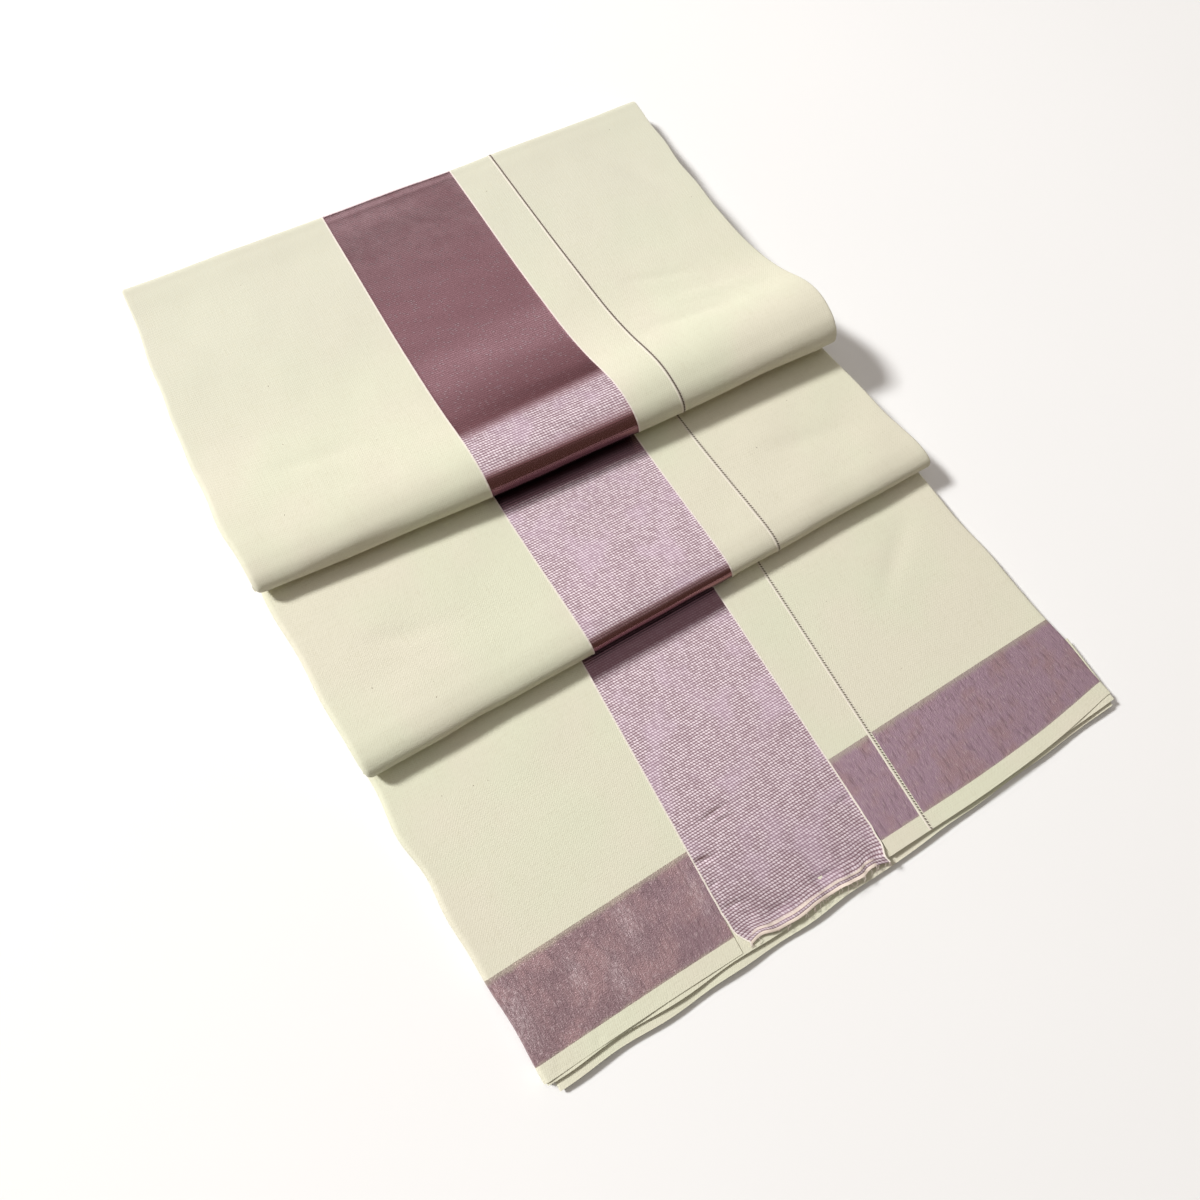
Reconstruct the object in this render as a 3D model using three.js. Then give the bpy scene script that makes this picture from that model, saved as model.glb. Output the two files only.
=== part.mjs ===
// A cotton saree, folded lengthwise into a packet and laid in three stepped tiers.
// Millimetres, +Z up. The origin is on the floor, at the middle of the footprint.
// X runs along the selvedge at the near edge, and Y runs from the near edge to the back fold.

import * as THREE from 'three';

// ---------------------------------------------------------------- driving dimensions

const WALL = 1.5;             // wall of a stretch of cloth that shows
const SEAM = 0.3;             // gap between neighbouring pieces
const CLEARANCE = 2;          // from the hidden layers up to the top tier's cloth
const COLUMN_PITCH = 75;      // widest step across a stretch
const SIDE_STEPS = 3;         // steps round the fold at a side edge
const TOP_FRONT_BOW = 3;      // the front of the top roll bows out by this much at its middle
const BOW_END_ROW = 10;       // row of the top section where that bow has faded out
const BOW_FADE_ROWS = 4;      // and the number of rows over which it fades
const SETTLE_ROUNDS = 6;      // rounds in which a point finds its place across a section

const NEAR_Y = -265;          // selvedge of the top layer, at the near edge
const BORDER_OUTER_Y = -256.3;
const BORDER_INNER_Y = -208.5;
const BAND_END_Y = -263;      // puckered end of the wide band
const LOWER_FAR_Y = -79;      // where the lower tier goes out of sight under the middle one
const LINE_WIDTH = 3;         // woven thread line beside the band

const FOLD_RADIUS = { lower: 3.5, middle: 4, top: 4 };   // how each tier's side edges turn down
const BACK_RADIUS = 8.5;      // fold at the back of the top tier
const CORE_BACK_RADIUS = 5.2; // and of the layers inside it

// Where the edges and the woven lines of each tier run. A row is one place along Y.
const LINES = {
  lower: [
    { y: -265, left: -188.2, bandLeft: -69.0, bandRight: 31.1, threadLine: 60.1, right: 209.0 },
    { y: -75, left: -201.2, bandLeft: -65.2, bandRight: 30.0, threadLine: 63.0, right: 193.1 },
    { y: 270, left: -198.0, bandLeft: -65.2, bandRight: 30.0, threadLine: 63.0, right: 184.0 },
  ],
  middle: [
    { y: -89, left: -199.3, bandLeft: -57.9, bandRight: 41.0, threadLine: 75.0, right: 198.5 },
    { y: 45, left: -206.0, bandLeft: -64.0, bandRight: 35.0, threadLine: 65.0, right: 180.5 },
    { y: 270, left: -200.0, bandLeft: -64.0, bandRight: 35.0, threadLine: 65.0, right: 182.5 },
  ],
  top: [
    { y: 10, left: -204.5, bandLeft: -65.5, bandRight: 35.5, threadLine: 67.0, right: 184.5 },
    { y: 45, left: -207.5, bandLeft: -65.8, bandRight: 34.0, threadLine: 65.0, right: 187.0 },
    { y: 80, left: -209.0, bandLeft: -67.0, bandRight: 31.5, threadLine: 63.0, right: 180.5 },
    { y: 270, left: -203.0, bandLeft: -66.3, bandRight: 31.2, threadLine: 62.5, right: 185.0 },
  ],
};

// Outer face of the cloth in each tier, from its lowest hidden end to its far end, as a
// section at the left edge and one at the right edge. A row is one step along the cloth.
const SECTIONS = {
  lower: [
    { yLeft: NEAR_Y, zLeft: 7.0, yRight: NEAR_Y, zRight: 7.0 },
    { yLeft: -200, zLeft: 7.6, yRight: -200, zRight: 7.6 },
    { yLeft: LOWER_FAR_Y, zLeft: 8.0, yRight: LOWER_FAR_Y, zRight: 8.0 },
  ],
  middle: [
    { yLeft: -79.0, zLeft: 8.6, yRight: -79.0, zRight: 8.6 },
    { yLeft: -84.5, zLeft: 9.6, yRight: -84.5, zRight: 9.6 },
    { yLeft: -88.0, zLeft: 12.4, yRight: -88.0, zRight: 12.4 },
    { yLeft: -89.0, zLeft: 16.0, yRight: -89.0, zRight: 16.0 },
    { yLeft: -87.2, zLeft: 19.8, yRight: -87.2, zRight: 19.8 },
    { yLeft: -82.5, zLeft: 22.6, yRight: -82.5, zRight: 22.6 },
    { yLeft: -75.0, zLeft: 24.0, yRight: -75.0, zRight: 24.0 },
    { yLeft: -62.0, zLeft: 24.2, yRight: -62.0, zRight: 24.2 },
    { yLeft: -40.0, zLeft: 23.4, yRight: -40.0, zRight: 23.4 },
    { yLeft: 0.0, zLeft: 23.0, yRight: 0.0, zRight: 23.0 },
    { yLeft: 40.0, zLeft: 23.0, yRight: 22.0, zRight: 23.0 },
  ],
  top: [
    { yLeft: 38.0, zLeft: 24.0, yRight: 24.0, zRight: 24.0 },
    { yLeft: 32.5, zLeft: 24.9, yRight: 16.5, zRight: 25.6 },
    { yLeft: 29.6, zLeft: 27.6, yRight: 12.0, zRight: 30.0 },
    { yLeft: 29.0, zLeft: 31.0, yRight: 11.0, zRight: 36.0 },
    { yLeft: 30.6, zLeft: 34.6, yRight: 13.5, zRight: 42.0 },
    { yLeft: 35.0, zLeft: 37.8, yRight: 19.5, zRight: 46.8 },
    { yLeft: 43.0, zLeft: 39.6, yRight: 29.0, zRight: 49.4 },
    { yLeft: 55.0, zLeft: 40.0, yRight: 42.0, zRight: 50.0 },
    { yLeft: 68.0, zLeft: 39.4, yRight: 56.0, zRight: 47.6 },
    { yLeft: 80.0, zLeft: 38.6, yRight: 69.0, zRight: 43.0 },
    { yLeft: 92.0, zLeft: 37.4, yRight: 84.0, zRight: 38.8 },
    { yLeft: 130.0, zLeft: 33.0, yRight: 130.0, zRight: 33.0 },
    { yLeft: 180.0, zLeft: 27.2, yRight: 180.0, zRight: 27.2 },
    { yLeft: 225.0, zLeft: 22.0, yRight: 225.0, zRight: 22.0 },
    { yLeft: 257.0, zLeft: 18.2, yRight: 254.0, zRight: 18.2 },
    { yLeft: 266.0, zLeft: 15.8, yRight: 262.5, zRight: 15.8 },
    { yLeft: 270.6, zLeft: 12.0, yRight: 267.1, zRight: 12.0 },
    { yLeft: 272.0, zLeft: 8.0, yRight: 268.5, zRight: 8.0 },
    { yLeft: 270.8, zLeft: 4.4, yRight: 267.3, zRight: 4.4 },
  ],
};

const FRONT_ROW = { middle: 3, top: 3 };   // the row of each section that is furthest forward
const BACK_ROW = 17;                       // the row of the top section that is furthest back

// Levels of the hidden layers. rise goes from 0 at the floor of a tier to 1 under its cloth,
// side is how far the level stays inside the tier's side edges, and front how far behind
// its front. The levels in and out by turns are the folded edges of the layers.
const LEVELS = [
  { tier: 'lower', rise: 0.0, side: 5.5, front: -6.2 },
  { tier: 'lower', rise: 0.38, side: 5.0, front: -7.0 },
  { tier: 'lower', rise: 0.42, side: 2.6, front: -3.0 },
  { tier: 'lower', rise: 0.52, side: 0.8, front: -3.6 },
  { tier: 'lower', rise: 0.62, side: 0.8, front: -3.2 },
  { tier: 'lower', rise: 0.64, side: 2.6, front: 1.0 },
  { tier: 'lower', rise: 1.0, side: 4.2, front: 1.0 },
  { tier: 'middle', rise: -1.0, side: 12.0, front: 12.6 },
  { tier: 'middle', rise: 0.0, side: 12.0, front: 12.6 },
  { tier: 'middle', rise: 0.01, side: 3.4, front: 12.2 },
  { tier: 'middle', rise: 0.16, side: 0.9, front: 11.2 },
  { tier: 'middle', rise: 0.3, side: 0.3, front: 6.6 },
  { tier: 'middle', rise: 0.46, side: 0.9, front: 3.4 },
  { tier: 'middle', rise: 0.57, side: 2.8, front: 2.5 },
  { tier: 'middle', rise: 0.66, side: 0.9, front: 2.5 },
  { tier: 'middle', rise: 0.76, side: 0.7, front: 3.0 },
  { tier: 'middle', rise: 0.79, side: 2.8, front: 3.4 },
  { tier: 'middle', rise: 1.0, side: 4.8, front: 11.0 },
  { tier: 'top', rise: -1.0, side: 12.0, front: 16.4 },
  { tier: 'top', rise: 0.0, side: 12.0, front: 16.4 },
  { tier: 'top', rise: 0.01, side: 3.4, front: 16.0 },
  { tier: 'top', rise: 0.14, side: 0.9, front: 12.5 },
  { tier: 'top', rise: 0.28, side: 0.3, front: 5.8 },
  { tier: 'top', rise: 0.4, side: 0.9, front: 3.8 },
  { tier: 'top', rise: 0.5, side: 2.8, front: 3.0 },
  { tier: 'top', rise: 0.58, side: 0.9, front: 3.0 },
  { tier: 'top', rise: 0.66, side: 0.7, front: 3.4 },
  { tier: 'top', rise: 0.69, side: 2.8, front: 4.0 },
  { tier: 'top', rise: 1.0, side: 4.8, front: 15.0 },
];

const FLOOR_Z = { lower: 0, middle: 8.7, top: 24.6 };       // lowest level of each tier
const CEILING_Z = { lower: 5.1, middle: 21.1 };             // highest level, at the front
const STACK_Z = 37.4;         // top of the stack where its layers start to close up
const CLOSING_Y = 92;         // behind this line the layers close up towards the back
const CLOSED_Y = 254;         // and from here on they keep their height
const BACK_DROP = 0.85;       // share of its height that a level keeps at the back fold
const CORE_COLUMNS = 6;
const CORE_ROWS_Y = [92, 130, 180, 225, 254];               // rows shared by all the levels
const CORE_FRONT_ROWS = 4;    // rows from a level's front to the first shared row
const FRONT_CORNER = { lower: 0.5, middle: 5.5, top: 5.5 }; // how far corners are drawn in
const BACK_CORNER = 5.5;

const COLOURS = {
  cream: 0xe6e2cf,
  creamInner: 0xd8d3bc,
  band: 0xa8788c,
  threadLine: 0x9a8068,
  border: 0x8f7380,
};

// ---------------------------------------------------------------- sections and lines

function lerp(a, b, t) {
  return a + (b - a) * t;
}

function clamp01(t) {
  return Math.min(Math.max(t, 0), 1);
}

// The x of a named line of a tier at y.
function lineX(tier, line, y) {
  const rows = LINES[tier];
  let k = 0;
  while (k < rows.length - 2 && y > rows[k + 1].y) k += 1;
  const t = clamp01((y - rows[k].y) / (rows[k + 1].y - rows[k].y));
  return lerp(rows[k][line], rows[k + 1][line], t);
}

// The bow of the top roll's front fades out where the cloth lies flat.
function bowWeight(tier, row) {
  if (tier !== 'top') return 0;
  return clamp01((BOW_END_ROW - row) / BOW_FADE_ROWS);
}

// The outer face of a tier's cloth at a row of its section, across from 0 at the left to 1.
function sectionPoint(tier, row, across) {
  const { yLeft, zLeft, yRight, zRight } = SECTIONS[tier][row];
  const bow = TOP_FRONT_BOW * bowWeight(tier, row) * 4 * across * (1 - across);
  return { y: lerp(yLeft, yRight, across) - bow, z: lerp(zLeft, zRight, across) };
}

// The point of a section row at a given x: its share of the width settles in a few rounds.
function sectionAtX(tier, row, xOf) {
  let across = 0.5;
  let point = sectionPoint(tier, row, across);
  let x = xOf(point.y);
  for (let round = 0; round < SETTLE_ROUNDS; round += 1) {
    const left = lineX(tier, 'left', point.y);
    const right = lineX(tier, 'right', point.y);
    across = clamp01((x - left) / (right - left));
    point = sectionPoint(tier, row, across);
    x = xOf(point.y);
  }
  return { x, y: point.y, z: point.z, across };
}

// The outward normal of a section at one of its rows, in the YZ plane.
function sectionNormal(tier, row, across) {
  const last = SECTIONS[tier].length - 1;
  const before = sectionPoint(tier, Math.max(row - 1, 0), across);
  const after = sectionPoint(tier, Math.min(row + 1, last), across);
  return new THREE.Vector3(0, before.z - after.z, after.y - before.y).normalize();
}

// ---------------------------------------------------------------- meshes

// A closed mesh, put together from faces with four corners in turn, seen from outside.
class Shell {
  constructor() {
    this.positions = [];
  }

  quad(a, b, c, d) {
    [a, b, c, a, c, d].forEach((p) => this.positions.push(p.x, p.y, p.z));
  }

  geometry() {
    const geometry = new THREE.BufferGeometry();
    geometry.setAttribute('position', new THREE.Float32BufferAttribute(this.positions, 3));
    geometry.computeVertexNormals();
    return geometry;
  }
}

// A wall between two grids of points, rows along the cloth and columns across it.
function wallGeometry(outer, inner) {
  const shell = new Shell();
  const rows = outer.length - 1;
  const columns = outer[0].length - 1;
  for (let i = 0; i < rows; i += 1) {
    for (let j = 0; j < columns; j += 1) {
      shell.quad(outer[i][j], outer[i][j + 1], outer[i + 1][j + 1], outer[i + 1][j]);
      shell.quad(inner[i][j], inner[i + 1][j], inner[i + 1][j + 1], inner[i][j + 1]);
    }
    shell.quad(outer[i][0], outer[i + 1][0], inner[i + 1][0], inner[i][0]);
    shell.quad(outer[i + 1][columns], outer[i][columns], inner[i][columns], inner[i + 1][columns]);
  }
  for (let j = 0; j < columns; j += 1) {
    shell.quad(outer[0][j + 1], outer[0][j], inner[0][j], inner[0][j + 1]);
    shell.quad(outer[rows][j], outer[rows][j + 1], inner[rows][j + 1], inner[rows][j]);
  }
  return shell.geometry();
}

// The columns of a stretch: where each runs, and how far it turns round a side fold.
function stretchColumns(tier, piece) {
  const { from, to } = piece;
  const radius = FOLD_RADIUS[tier];
  const start = from === 'left' ? radius : SEAM / 2;
  const end = to === 'right' ? radius : SEAM / 2;
  const widest = Math.max(...LINES[tier].map(({ y }) => piece.toX(y) - piece.fromX(y)));
  const steps = Math.ceil(widest / COLUMN_PITCH);
  const columns = [];
  if (from === 'left') {
    for (let k = SIDE_STEPS; k > 0; k -= 1) {
      columns.push({ share: 0, start, end, turn: (k / SIDE_STEPS) * Math.PI / 2, side: -1 });
    }
  }
  for (let k = 0; k <= steps; k += 1) {
    columns.push({ share: k / steps, start, end, turn: 0, side: 0 });
  }
  if (to === 'right') {
    for (let k = 1; k <= SIDE_STEPS; k += 1) {
      columns.push({ share: 1, start, end, turn: (k / SIDE_STEPS) * Math.PI / 2, side: 1 });
    }
  }
  return columns;
}

// The outer and inner points of a stretch at one row and column.
function stretchPoints(tier, row, piece, column) {
  const xOf = (y) => lerp(
    piece.fromX(y) + column.start,
    piece.toX(y) - column.end,
    column.share,
  );
  const base = sectionAtX(tier, row, xOf);
  const up = sectionNormal(tier, row, base.across);
  const radius = FOLD_RADIUS[tier];
  const outward = up.clone().multiplyScalar(Math.cos(column.turn));
  outward.x += column.side * Math.sin(column.turn);
  const outer = new THREE.Vector3(base.x, base.y, base.z)
    .addScaledVector(up, -radius)
    .addScaledVector(outward, radius);
  const inner = outer.clone().addScaledVector(outward, -WALL);
  return { outer, inner };
}

// A stretch of cloth of one tier, between two lines and over a span of section rows.
function stretchGeometry(tier, piece) {
  const columns = stretchColumns(tier, piece);
  const outer = [];
  const inner = [];
  SECTIONS[tier].forEach((_, row) => {
    const points = columns.map((column) => stretchPoints(tier, row, piece, column));
    outer.push(points.map((point) => point.outer));
    inner.push(points.map((point) => point.inner));
  });
  return wallGeometry(outer, inner);
}

// The same for the lower tier, whose flat cloth is cut across by its border: the rows are
// placed at the ends of the piece and on the section's own rows between them.
function flatStretchGeometry(piece) {
  const inside = SECTIONS.lower.map((row) => row.yLeft)
    .filter((y) => y > piece.yNear && y < piece.yFar);
  const rowsY = [piece.yNear, ...inside, piece.yFar];
  const columns = stretchColumns('lower', piece);
  const outer = [];
  const inner = [];
  rowsY.forEach((y) => {
    const points = columns.map((column) => flatPoints(piece, column, y));
    outer.push(points.map((point) => point.outer));
    inner.push(points.map((point) => point.inner));
  });
  return wallGeometry(outer, inner);
}

function lowerZ(y) {
  const rows = SECTIONS.lower;
  const k = y > rows[1].yLeft ? 1 : 0;
  const t = clamp01((y - rows[k].yLeft) / (rows[k + 1].yLeft - rows[k].yLeft));
  return lerp(rows[k].zLeft, rows[k + 1].zLeft, t);
}

function flatPoints(piece, column, y) {
  const radius = FOLD_RADIUS.lower;
  const x = lerp(piece.fromX(y) + column.start, piece.toX(y) - column.end, column.share);
  const outward = new THREE.Vector3(
    column.side * Math.sin(column.turn), 0, Math.cos(column.turn),
  );
  const outer = new THREE.Vector3(x, y, lowerZ(y) - radius).addScaledVector(outward, radius);
  const inner = outer.clone().addScaledVector(outward, -WALL);
  return { outer, inner };
}

// ---------------------------------------------------------------- hidden layers

// The outer height of the top tier's cloth over a point.
function topClothZ(across, y) {
  const last = SECTIONS.top.length - 1;
  for (let row = FRONT_ROW.top; row < last; row += 1) {
    const a = sectionPoint('top', row, across);
    const b = sectionPoint('top', row + 1, across);
    if (y <= b.y) return lerp(a.z, b.z, clamp01((y - a.y) / (b.y - a.y)));
  }
  return sectionPoint('top', last, across).z;
}

// How far the layers have closed up at y, from 1 at the front down to the back.
function closing(y) {
  const across = 0.5;
  const here = topClothZ(across, Math.min(Math.max(y, CLOSING_Y), CLOSED_Y));
  return (here - WALL - CLEARANCE) / (STACK_Z - WALL - CLEARANCE);
}

function frontY(tier, across) {
  if (tier === 'lower') return NEAR_Y;
  return sectionPoint(tier, FRONT_ROW[tier], across).y;
}

function levelZ(level, across, y) {
  const { tier, rise } = level;
  if (tier === 'lower') return rise * CEILING_Z.lower * closing(y);
  if (tier === 'middle') {
    if (rise < 0) return CEILING_Z.lower * closing(y);
    return lerp(FLOOR_Z.middle, CEILING_Z.middle, rise) * closing(y);
  }
  if (rise < 0) return CEILING_Z.middle * closing(y);
  const floor = FLOOR_Z.top * closing(y);
  const ceiling = topClothZ(across, Math.min(y, CLOSED_Y)) - WALL - CLEARANCE;
  return lerp(floor, ceiling, rise);
}

// The back fold rounds the levels off, inside the cloth that turns down round them.
function backY(across, z) {
  const foldY = sectionPoint('top', BACK_ROW, across).y;
  const fromAxis = Math.min(Math.abs(z - BACK_RADIUS), CORE_BACK_RADIUS);
  return foldY - BACK_RADIUS + Math.sqrt(CORE_BACK_RADIUS ** 2 - fromAxis ** 2);
}

// A level as a grid of points, whose rim joins it to the levels over and under it.
function levelGrid(level) {
  const rows = CORE_FRONT_ROWS + CORE_ROWS_Y.length;
  const grid = [];
  for (let j = 0; j <= rows; j += 1) {
    const line = [];
    for (let i = 0; i <= CORE_COLUMNS; i += 1) {
      line.push(levelPoint(level, i / CORE_COLUMNS, j));
    }
    grid.push(line);
  }
  return grid;
}

// The front row is drawn in at its ends, and the next one is just behind the corners.
function rowY(level, across, j) {
  const front = frontY(level.tier, across) + level.front;
  if (j === 0) return front;
  if (j < CORE_FRONT_ROWS) {
    const behind = front + FRONT_CORNER[level.tier];
    return lerp(behind, CORE_ROWS_Y[0], (j - 1) / (CORE_FRONT_ROWS - 1));
  }
  return CORE_ROWS_Y[Math.min(j - CORE_FRONT_ROWS, CORE_ROWS_Y.length - 1)];
}

function levelPoint(level, across, j) {
  const y = rowY(level, across, j);
  const z = levelZ(level, across, y);
  if (j < CORE_FRONT_ROWS + CORE_ROWS_Y.length) {
    return cornerPoint(level, across, y, z, j === 0 ? FRONT_CORNER[level.tier] : 0);
  }
  const dropped = z * BACK_DROP;
  return cornerPoint(level, across, backY(across, dropped), dropped, BACK_CORNER);
}

// A level's corners are drawn in from its sides.
function cornerPoint(level, across, y, z, corner) {
  const side = level.side + corner;
  const left = lineX(level.tier, 'left', y) + side;
  const right = lineX(level.tier, 'right', y) - side;
  return new THREE.Vector3(lerp(left, right, across), y, z);
}

function gridRim(grid) {
  const rows = grid.length - 1;
  const columns = grid[0].length - 1;
  const rim = [];
  for (let i = 0; i < columns; i += 1) rim.push(grid[0][i]);
  for (let j = 0; j < rows; j += 1) rim.push(grid[j][columns]);
  for (let i = columns; i > 0; i -= 1) rim.push(grid[rows][i]);
  for (let j = rows; j > 0; j -= 1) rim.push(grid[j][0]);
  return rim;
}

function coreGeometry() {
  const shell = new Shell();
  const grids = LEVELS.map(levelGrid);
  const rims = grids.map(gridRim);
  for (let k = 0; k < rims.length - 1; k += 1) {
    const low = rims[k];
    const high = rims[k + 1];
    for (let i = 0; i < low.length; i += 1) {
      const next = (i + 1) % low.length;
      shell.quad(low[i], low[next], high[next], high[i]);
    }
  }
  const bottom = grids[0];
  const top = grids[grids.length - 1];
  for (let j = 0; j < top.length - 1; j += 1) {
    for (let i = 0; i < CORE_COLUMNS; i += 1) {
      shell.quad(top[j][i], top[j][i + 1], top[j + 1][i + 1], top[j + 1][i]);
      shell.quad(bottom[j][i], bottom[j + 1][i], bottom[j + 1][i + 1], bottom[j][i + 1]);
    }
  }
  return shell.geometry();
}

// ---------------------------------------------------------------- the saree

const saree = new THREE.Group();

function addPiece(name, geometry, colour, roughness, metalness) {
  const material = new THREE.MeshStandardMaterial({ color: colour, roughness, metalness });
  const mesh = new THREE.Mesh(geometry, material);
  mesh.name = name;
  saree.add(mesh);
}

const WEAVES = {
  body: { colour: COLOURS.cream, roughness: 0.9, metalness: 0 },
  band: { colour: COLOURS.band, roughness: 0.42, metalness: 0.5 },
  line: { colour: COLOURS.threadLine, roughness: 0.6, metalness: 0.2 },
  border: { colour: COLOURS.border, roughness: 0.5, metalness: 0.4 },
};

// A stretch's sides run along two named lines. The thread line has a width of its own.
function lineEdge(tier, line, shift) {
  return (y) => lineX(tier, line, y) + shift;
}

function stretchOf(tier, weave, from, to, extent = {}) {
  const fromShift = from === 'threadLine' ? LINE_WIDTH / 2 : 0;
  const toShift = to === 'threadLine' ? -LINE_WIDTH / 2 : 0;
  return {
    weave,
    from,
    to,
    fromX: lineEdge(tier, from, fromShift),
    toX: lineEdge(tier, to, toShift),
    ...extent,
  };
}

function threadLineOf(tier, extent = {}) {
  return {
    weave: 'line',
    from: 'threadLine',
    to: 'threadLine',
    fromX: lineEdge(tier, 'threadLine', -LINE_WIDTH / 2),
    toX: lineEdge(tier, 'threadLine', LINE_WIDTH / 2),
    ...extent,
  };
}

// The five stretches that show across a tier.
function tierPieces(tier) {
  return {
    body_left: stretchOf(tier, 'body', 'left', 'bandLeft'),
    band: stretchOf(tier, 'band', 'bandLeft', 'bandRight'),
    body_centre: stretchOf(tier, 'body', 'bandRight', 'threadLine'),
    thread_line: threadLineOf(tier),
    body_right: stretchOf(tier, 'body', 'threadLine', 'right'),
  };
}

// The lower tier also has the border and the selvedge, cut across by the wide band.
function lowerPieces() {
  const body = { yNear: BORDER_INNER_Y + SEAM / 2, yFar: LOWER_FAR_Y };
  const border = { yNear: BORDER_OUTER_Y + SEAM / 2, yFar: BORDER_INNER_Y - SEAM / 2 };
  const selvedge = { yNear: NEAR_Y, yFar: BORDER_OUTER_Y - SEAM / 2 };
  const bandExtent = { yNear: BAND_END_Y, yFar: LOWER_FAR_Y };
  const lineExtent = { yNear: NEAR_Y, yFar: LOWER_FAR_Y };
  return {
    body_left: stretchOf('lower', 'body', 'left', 'bandLeft', body),
    band: stretchOf('lower', 'band', 'bandLeft', 'bandRight', bandExtent),
    body_centre: stretchOf('lower', 'body', 'bandRight', 'threadLine', body),
    thread_line: threadLineOf('lower', lineExtent),
    body_right: stretchOf('lower', 'body', 'threadLine', 'right', body),
    border_left: stretchOf('lower', 'border', 'left', 'bandLeft', border),
    border_centre: stretchOf('lower', 'border', 'bandRight', 'threadLine', border),
    border_right: stretchOf('lower', 'border', 'threadLine', 'right', border),
    selvedge_left: stretchOf('lower', 'body', 'left', 'bandLeft', selvedge),
    selvedge_centre: stretchOf('lower', 'body', 'bandRight', 'threadLine', selvedge),
    selvedge_right: stretchOf('lower', 'body', 'threadLine', 'right', selvedge),
  };
}

function addTier(tier, pieces, geometryOf) {
  Object.entries(pieces).forEach(([name, piece]) => {
    const { colour, roughness, metalness } = WEAVES[piece.weave];
    addPiece(`${tier}_${name}`, geometryOf(piece), colour, roughness, metalness);
  });
}

addPiece('hidden_layers', coreGeometry(), COLOURS.creamInner, 0.95, 0);
addTier('lower', lowerPieces(), flatStretchGeometry);
addTier('middle', tierPieces('middle'), (piece) => stretchGeometry('middle', piece));
addTier('top', tierPieces('top'), (piece) => stretchGeometry('top', piece));

export default saree;
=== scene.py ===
# A cotton saree, folded lengthwise into a packet and laid in three stepped tiers: a cream body,
# a wide band of metallic weave, a woven thread line, and a tissue border with a plain selvedge.
# Metres, +Z up. X runs along the near selvedge, and Y from the near edge to the back fold.
from collections import namedtuple
from math import ceil, cos, floor, pi, radians, sin, sqrt, tau

import bpy
import numpy as np
from mathutils import Matrix, Vector


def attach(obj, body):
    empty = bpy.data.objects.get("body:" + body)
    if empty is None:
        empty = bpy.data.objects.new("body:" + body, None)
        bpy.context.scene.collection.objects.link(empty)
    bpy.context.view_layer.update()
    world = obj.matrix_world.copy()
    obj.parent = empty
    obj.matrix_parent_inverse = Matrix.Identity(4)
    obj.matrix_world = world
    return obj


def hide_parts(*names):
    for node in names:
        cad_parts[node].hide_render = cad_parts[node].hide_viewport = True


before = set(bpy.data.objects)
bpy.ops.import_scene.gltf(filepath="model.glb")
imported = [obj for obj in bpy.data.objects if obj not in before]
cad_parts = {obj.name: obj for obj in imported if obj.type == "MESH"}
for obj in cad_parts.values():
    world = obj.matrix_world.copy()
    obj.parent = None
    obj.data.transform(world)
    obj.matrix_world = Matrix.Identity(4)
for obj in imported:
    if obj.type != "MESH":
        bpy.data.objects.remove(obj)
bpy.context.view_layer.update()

# ---- sizes

ROOT = "root"
SEED = 7

WALL = 0.0006  # thickness of the cloth
PASS = 0.0074  # thickness of one pass of the folded packet
FLOOR_GAP = 0.0003  # under the lowest pass
RETURN = 0.012  # how far the cloth runs on inside a side fold
DEEP_RETURN = 0.15  # and inside the open loop of the top roll
FOLD_STEPS = 8  # steps round half a fold
RETURN_STEPS = 5
BODY_PITCH = 0.0025  # steps of the plain cloth, across it
ROW_PITCH = 0.002  # and along it
HIDDEN_PITCH, HIDDEN_ROW_PITCH, SECOND_FOLD_PITCH = 0.03, 0.004, 0.0025
HIDDEN_OVERLAP = 0.004  # how far the hidden runs reach under the ones that show
BAND_WIDTH = 0.1
BAND_PITCH = 0.002  # steps across the band
WEFT_PITCH = 0.00155  # from one cord of the band to the next
WEFT_STEPS = (0.0, 0.17, 0.5, 0.83)  # where the cloth is sampled across a cord
WEFT_PROFILE = (0.0, 0.92, 1.0, 0.92)
WEFT_HEIGHT = 0.00006
EDGE_THREAD = 0.0011  # pale thread along each side of the band
EDGE_STEPS = 4
BEAD_PITCH, BEAD_HEIGHT = 0.0011, 0.00018  # the weft bends round it
LINE_WIDTH = 0.003  # woven thread line
DASH_PITCH = 0.0017
DASH_STEPS = 6
DASH_MIDDLE = 0.4  # of its repeat
LINE_POINTS = 15
CORD_RISE, DASH_RISE = 0.0003, 0.0002
CORD_X, CORD_HALF = -0.00065, 0.00055  # across it: a raised cord, dashes, a thin cord
DASH_X, DASH_HALF = 0.00045, 0.0006
FAR_CORD_X, FAR_CORD_HALF = 0.00125, 0.00025
DASH_LENGTH = {"lower": 0.3, "middle": 0.33, "top": 0.38}
GAP_DARK = {"lower": 0.0, "middle": 0.05, "top": 0.35}  # how dark it is between the dashes
TOP_FRONT_BOW = 0.003  # the front of the top roll bows out by this much at its middle
BOW_FROM_Y = 0.088  # behind this line it doesn't
BOW_FADE = 0.052
SWELL_HEIGHT = 0.002  # and its crest swells up there
SWELL_Y = 0.043
SWELL_SPREAD = 0.0125
SWELL_FROM_Z, SWELL_RISE = 0.034, 0.008

NEAR_Y = -0.265
BORDER_OUTER_Y = -0.2563
BORDER_INNER_Y = -0.2085
BAND_END_Y = -0.264
LOWER_FAR_Y = -0.076

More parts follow.
